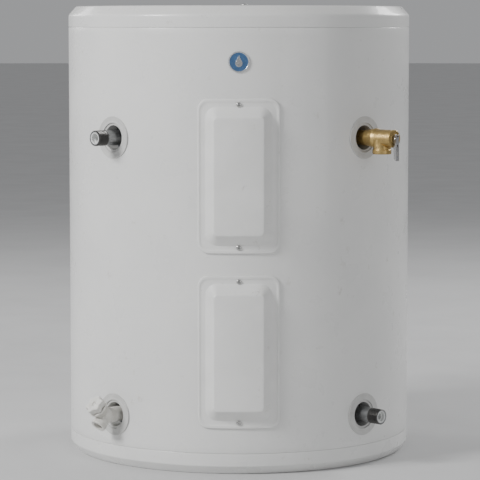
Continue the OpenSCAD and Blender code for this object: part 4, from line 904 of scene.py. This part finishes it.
def junction_cover():
    """Pressed plate with a shallow border groove and a lip that drops into the box's opening."""
    low, high = box_of("junction_cover")
    w, h, _ = high - low
    lip, top, seat = low[2], high[2], CAP_TOP + TOUCH
    rows = [(0, h - w, 0, top - 0.25), (w * 0.4, h - w * 0.6, 2, top - 0.25)]
    rows += shrunk(w, h, [
        (20, 20, 3, top - 0.25), (18.4, 18.4, 3, top - 0.05), (17.6, 17.6, 3.2, top), (3, 3, 4, top),
        (1, 1, 4.7, top - 0.15), (0.2, 0.2, 5, top - 0.5), (0, 0, 5, top - 0.8), (0, 0, 5, seat),
        (2, 2, 4.4, seat)])
    rows += [(62.1, 68.1, 5, seat), (62, 68, 5, lip), (59.2, 65.2, 3.6, lip), (59, 65, 3.5, seat),
             (w * 0.3, h - w * 0.7, 1, seat), (0, h - w, 0, seat)]
    plate = quads(np.stack(lofted(rows, per_side=18), -1), wrap_v=True)
    parts = put(upright(*middle_of("junction_cover")[:2], 0), plate)
    make("junction_cover_pressing", parts, "junction_cover", sharp=40)


def anode_plug():
    """Snap-in plug over the anode's head: shallow dome, rim and a skirt below."""
    low, high = box_of("anode_cover_plug")
    r, top, bottom = (high[0] - low[0]) / 2, high[2], low[2]
    skirt, seat, roof = r - 3.2, CAP_TOP + TOUCH, CAP_TOP - 0.6
    profile = [(0, top), (skirt * 0.6, top - 0.1), (r - 2.5, top - 0.35), (r - 0.6, top - 0.8),
               (r, top - 1.3), (r, seat), (skirt, seat), (skirt, bottom + 0.8), (skirt - 0.5, bottom),
               (skirt - 1.4, bottom), (skirt - 1.5, roof), (0, roof)]
    parts = put(upright(*middle_of("anode_cover_plug")[:2], 0), turned(soften(profile, 0.6)))
    make("anode_plug_cap", parts, "anode_cover_plug")


# ---------- pipe connections ----------

def nipple(port, name, node):
    """Steel nipple: plain tube out of the port, then a fine thread and a bevelled, bored face."""
    depth, bore, bevel = 1.0, 10.5, 0.9
    begin, end = R + 20, PIPE_END
    face = [(PIPE_R - bevel, end), (bore + 0.1, end), (bore, end - 0.5), (bore, BACK), (PIPE_R, BACK)]
    parts = threaded([(PIPE_R, BACK)], PIPE_R, depth, PIPE_PITCH, begin, end - bevel, face)
    piece = make(name, put(port, *parts), node, sharp=45)
    x, y, out = ((place_of(piece.data) - port[:3, 3]) @ port[:3, :3]).T
    # Painted shade: this mask marks the threaded band, which the zinc_pipe finish paints near-black as the shade
    # of the thread grooves
    mark(piece.data, "threaded",
         smooth((out - begin + 0.4) / 0.8) * smooth((np.hypot(x, y) - PIPE_R + 1.3) / 0.2))


def nipple_linings():
    """Plastic sleeves in the nipples: rounded lip just inside the mouth, stepped bore, insert."""
    end, back = PIPE_END - 0.5, 285.0
    profile = [(10.45, back), (10.45, end - 0.3), (10.15, end), (8.5, end), (8.05, end - 0.4),
               (8.05, end - 5.3), (7.8, end - 5.5), (6.3, end - 5.5), (6.0, end - 5.8), (6.0, back + 19),
               (8.05, back + 19), (8.05, back)]
    sleeve = turned(soften(profile, 0.2, steps=3, closed=True), closed=True)
    make("nipple_sleeves", put(HOT, sleeve) + put(COLD, sleeve), "nipple_liners", sharp=40)


def relief_body():
    """Cast brass body: shank and collars turned as one, joined by the outlet branch below.

    The branch ends in a socket with an inner thread, whose groove is cut by a threaded core.
    """
    down = tilted(RELIEF, 347.5, -math.pi / 2)
    shank = [(0, BACK), (12.4, BACK), (13.3, BACK + 1), (13.3, 314), (14.05, 314.4), (14.05, 324),
             (15.55, 324.6), (15.55, 333), (17.05, 333.6), (17.05, 335.4), (15.25, 340.5),
             (15.25, 375.4), (14.6, 376), (0, 376)]
    branch = [(0, 2), (15.25, 2), (15.25, 19), (16.25, 19.6), (16.25, 26.2), (15.6, 27), (0, 27)]
    core = threaded([(0, 14), (9, 14), (9, 14.4)], 12.0, 0.9, PIPE_PITCH, 15, 26,
                    [(13.2, 27.2), (13.2, 28), (0, 28)])
    way = turned([(0, 0), (9, 0), (9, 14.2), (0, 14.2)])
    bore = turned([(0, BACK - 1), (9, BACK - 1), (9, 330), (4, 334), (4, 366), (12, 366.02), (12, 377),
                   (0, 377)])
    piece = carved("relief_casting",
                   [put(RELIEF, turned(soften(shank, 0.5, steps=4))),
                    put(down, turned(soften(branch, 0.4, steps=4)))],
                   [put(RELIEF, bore), put(down, way), put(down, *core)])
    settle(piece, "relief_valve_body", sharp=38)


def relief_bonnet():
    """Turned brass bonnet: rings, a small hub, the hole for the stem and a recess for the spring."""
    profile = [(2.6, 371.8), (8.6, 371.8), (8.6, 366.05), (11.9, 366.05), (11.9, 375.2), (11.4, 375.75),
               (9.6, 375.75), (9.2, 375.3), (8.2, 375.3), (7.8, 375.75), (5.2, 375.75), (4.9, 375.5),
               (2.6, 375.5)]
    parts = put(RELIEF, turned(soften(profile, 0.2, closed=True), closed=True))
    make("relief_bonnet_turned", parts, "relief_bonnet", sharp=40)


def relief_pin():
    """Pin of the lever: a straight rod with a domed head at both ends."""
    half = 4.55
    head = [(0, half), (0.9, half - 0.06), (1.6, half - 0.2), (2.0, half - 0.42), (2.0, half - 0.55),
            (1.25, half - 0.56)]
    rod = turned(head + [(r, -h) for r, h in head[::-1]], sides=48)
    along = aimed(middle_of("relief_lever_pin"), RELIEF[:3, 0], RELIEF[:3, 1])
    make("relief_pin_domed", put(along, rod), "relief_lever_pin", sharp=40)


# ---------- drain valve ----------

def drain_body():
    """Moulded valve body: shank with a thread, round middle, threaded neck and hose outlet."""
    hose = tilted(DRAIN_MIDDLE, 0, -math.radians(45))
    ball_r, shank_r, neck_r, hose_r = 14.2, 13.3, 13.8, 13.49
    back = BACK - 329.0
    ball = [(ball_r * math.cos(a), ball_r * math.sin(a)) for a in np.linspace(-1.1, math.pi / 2, 26)]
    ball = [(0, ball[0][1] + 1e-3)] + ball[:-1] + [(0, ball_r)]
    shank = threaded([(0, back), (shank_r, back)], shank_r, 0.9, PIPE_PITCH, -17, -3,
                     [(shank_r, 0), (0, 0)])
    spindle = threaded([(0, 2), (neck_r, 2)], neck_r, 0.9, NECK_PITCH, 8.5, 18.9,
                       [(neck_r, 19.5), (0, 19.5)])
    spout = threaded([(0, 0), (9.0, 0), (12.19, 11.6), (12.19, 14.4), (12.6, 14.8), (13.1, 14.8)],
                     hose_r, 1.1, HOSE_PITCH, 15.1, 23.4, [(13.0, 24), (0, 24)])
    bore = turned([(0, 8.3), (8.5, 8.3), (8.5, 23.6), (8.9, 24.1), (8.9, 25), (0, 25)])
    solids = [put(DRAIN_MIDDLE, turned(ball)), put(DRAIN_MIDDLE, *shank), put(DRAIN_NECK, *spindle),
              put(hose, *spout)]
    settle(carved("drain_moulding", solids, [put(hose, bore)]), "drain_valve_body", sharp=38)


def drain_bonnet():
    """Ring round the stem with a fluted rim: r = R - flute * (1 - |cos(n a / 2)|)."""
    low, high = 19.53, 23.48
    turn = around(288)
    flute = 0.45 * (1 - abs(np.cos(18 * turn)))
    rows = [(radius - share * flute, height) for radius, height, share in [
        (5.6, low - 7.6, 0), (9.4, low - 7.6, 0), (9.4, low, 0), (15.4, low, 0), (16.6, low + 0.25, 0.6),
        (16.95, low + 0.9, 1), (16.95, high - 0.9, 1), (16.55, high - 0.25, 0.6), (15.4, high, 0),
        (9, high, 0), (8.6, high - 0.3, 0), (4.2, high - 0.3, 0), (4.2, low + 0.7, 0), (5.6, low + 0.6, 0)]]
    make("drain_bonnet_fluted", put(DRAIN_NECK, polar(turn, rows, closed=True)), "drain_bonnet", sharp=40)


def drain_knob():
    """Knob with six hollows round its rim, fine ribs on its sides and a star recess in its face.

    A hollow is a circle of radius c whose middle lies d from the axis: at an angle t from the
    middle its edge is d cos t - sqrt(c^2 - d^2 sin^2 t). Hollow and rim blend as
    -log(exp(-k a) + exp(-k b)) / k. The star's edge swings between two radii.
    """
    low, high, radius, sharpness = 25.0, 36.0, 17.35, 2.2
    hollow_r, hollow_d = 10.0, 23.95
    turn = around(576)
    t = abs((turn + math.pi / 6) % (math.pi / 3) - math.pi / 6)
    root = hollow_r ** 2 - (hollow_d * np.sin(t)) ** 2
    hollow = np.where(root > 0, hollow_d * np.cos(t) - np.sqrt(np.maximum(root, 0)), 99.0)
    blend_sum = np.exp(-sharpness * (hollow - 15)) + np.exp(-sharpness * (radius - 15))
    edge = np.minimum(15 - np.log(blend_sum) / sharpness, radius)
    ribbed = edge - 0.22 * (0.5 + 0.5 * np.cos(72 * turn))
    star = 2.8 + 2.6 * abs(1 - ((6 * turn / TAU) % 1) * 2) ** 1.15
    rows = [(0, low + 0.6), (4.35, low + 0.6), (4.6, low), (edge - 1.4, low), (edge - 0.5, low + 0.3),
            (edge, low + 1.2), (ribbed, low + 1.5), (ribbed, high - 2.2), (edge, high - 1.9),
            (edge - 0.25, high - 0.7), (edge - 0.8, high - 0.2), (edge - 1.8, high), (edge - 3.2, high),
            (7.6, high), (7.2, high - 0.25), (6.4, high - 0.3), (star + 0.25, high - 0.3),
            (star, high - 0.5), (star - 0.25, high - 2.0), (0, high - 2.1)]
    make("drain_knob_moulded", put(DRAIN_NECK, polar(turn, rows)), "drain_knob", sharp=42)


# ---------- inside the bays and the junction box ----------

def harness():
    """Four wires on the harness's way: two from the junction box, two between the thermostats."""
    wire_r = 1.3
    over = box_of("wire_harness")[1][2] - wire_r
    front, rest = 287.0, 291.0
    upper, lower = COVER_Z["upper_cover"], COVER_Z["lower_cover"]
    box_front = box_of("junction_box")[0][1]
    (_, _, case_bottom), (_, _, case_top) = box_of("upper_thermostat")
    link_top, limit_z = case_bottom + 10, case_top - 8
    low_z = box_of("lower_thermostat")[1][2] - 8
    parts = []
    for side in (-1, 1):
        x, x_end = 4.0 * side, 14.0 * side
        supply = [(x, -70, over - 4), (x, box_front - 6, over), (x, 22 - front, over),
                  (x, 9 - front, over - 3), (x, 2 - front, over - 11), (x, -front, over - 24),
                  (x, -front, upper + 119.3), (x_end, -rest - 4, limit_z + 16),
                  (x_end, -rest - 3, limit_z + 6)]
        link = [(x_end, -rest - 3, link_top - 6), (1.6 * x_end, -rest - 3, link_top - 20),
                (1.6 * x_end, -rest, upper - 86), (x, -front, upper - 118.3), (x, -front, lower + 118.3),
                (x_end, -rest - 3, low_z + 20), (x_end, -rest - 3, low_z + 6)]
        parts += [tube_along(flowing(points), wire_r) for points in (supply, link)]
    piece = make("harness_wires", parts, "wire_harness", sharp=60)
    mark(piece.data, "black_wire", place_of(piece.data)[:, 0] > 0)


def insulation_pad(node, seed):
    """Fibre pad behind a cover: rounded rectangle whose front is crowned and uneven.

    The front's level is the plain curve less a sum of sines, largest near the pad's edge.
    """
    low, high = box_of(node)
    w, _, h = high - low
    back, front = -high[1], -low[1]
    waves = [(0.31, 0.12), (-0.17, 0.37), (0.55, -0.4), (0.9, 0.71), (-1.3, 0.95), (0.2, 1.7)]
    uneven = 0.35
    rows = [(0, h - w + 2, 0, back)] + shrunk(w, h, [
        (3, 3, 7, back), (0.6, 0.6, 8, back + 1.2), (0, 0, 8.2, back + 4), (0, 0, 8.2, front - 7),
        (0.8, 0.8, 8, front - 4), (2.6, 2.6, 7.5, front - 2), (5.5, 5.5, 6.6, front - 0.9)])
    x, z, level = lofted(rows + closing(rows[-1], 14, rise=0.9), per_end=18, per_side=40)
    rough = sum(np.sin(x * fx + z * fz + seed + k) for k, (fx, fz) in enumerate(waves)) / len(waves)
    face = smooth((level - back - 3) / 6)
    rolled = np.sqrt(np.maximum(level ** 2 - x ** 2, 1))
    curve = level - (level - rolled) * smooth((level - back) / 5)
    skin = np.stack([x, uneven * face * (1 - rough) - curve, z + (low[2] + high[2]) / 2], -1)
    piece = make(node + "_fibre", [quads(skin, wrap_v=True)], node, sharp=60)


# ---------- the whole heater ----------

# CAD nodes that keep their shape, with the width of the bevel on their edges
EASED = {"relief_lever": 0.35, "junction_box": 0.5, "upper_thermostat": 0.5, "lower_thermostat": 0.5,
         "upper_element_terminals": 0.4, "lower_element_terminals": 0.4, "upper_element_plug": 0.4,
         "lower_element_plug": 0.4, "thermostat_brackets": 0.25, "terminal_shields": 0.3,
         "upper_dial": 0.25, "lower_dial": 0.25, "reset_button": 0.3, "relief_stem": 0.2,
         "anode_head": 0.4, "thermostat_screws": 0.15}


def assemble():
    """Gives every CAD node the finish of its slot, then makes every piece, cabinet first."""
    for node, piece in frame["nodes"].items():
        for slot in piece.material_slots:
            slot.material = FINISH[SLOT_OF[node]]
    jacket()
    base_pan()
    top_cap()
    make("port_trims", [part for port in PORTS for part in trim_ring(port)], "port_trim_rings")
    badge()
    for node in COVER_Z:
        access_cover(node)
        screws(node + "_screws_pan_head", node + "_screws", R + 3.25, -box_of(node + "_screws")[0][1], 16, 2)
    screws("junction_screws_pan_head", "junction_cover_screws", box_of("junction_cover")[1][2],
           box_of("junction_cover_screws")[1][2], 9, 1)
    junction_cover()
    anode_plug()
    nipple(HOT, "hot_nipple_threaded", "hot_outlet_nipple")
    nipple(COLD, "cold_nipple_threaded", "cold_inlet_nipple")
    for build in (nipple_linings, relief_body, relief_bonnet, relief_pin, drain_body, drain_bonnet,
                  drain_knob, harness):
        build()
    insulation_pad("upper_insulation_pad", 0.0)
    insulation_pad("lower_insulation_pad", 2.6)
    for node, width in EASED.items():
        eased(node, width)


aim_camera()
light_studio()
studio_floor()
FINISH = {slot: finish(slot, *row, **more) for slot, (*row, more) in SLOT_FINISHES.items()}
assemble()
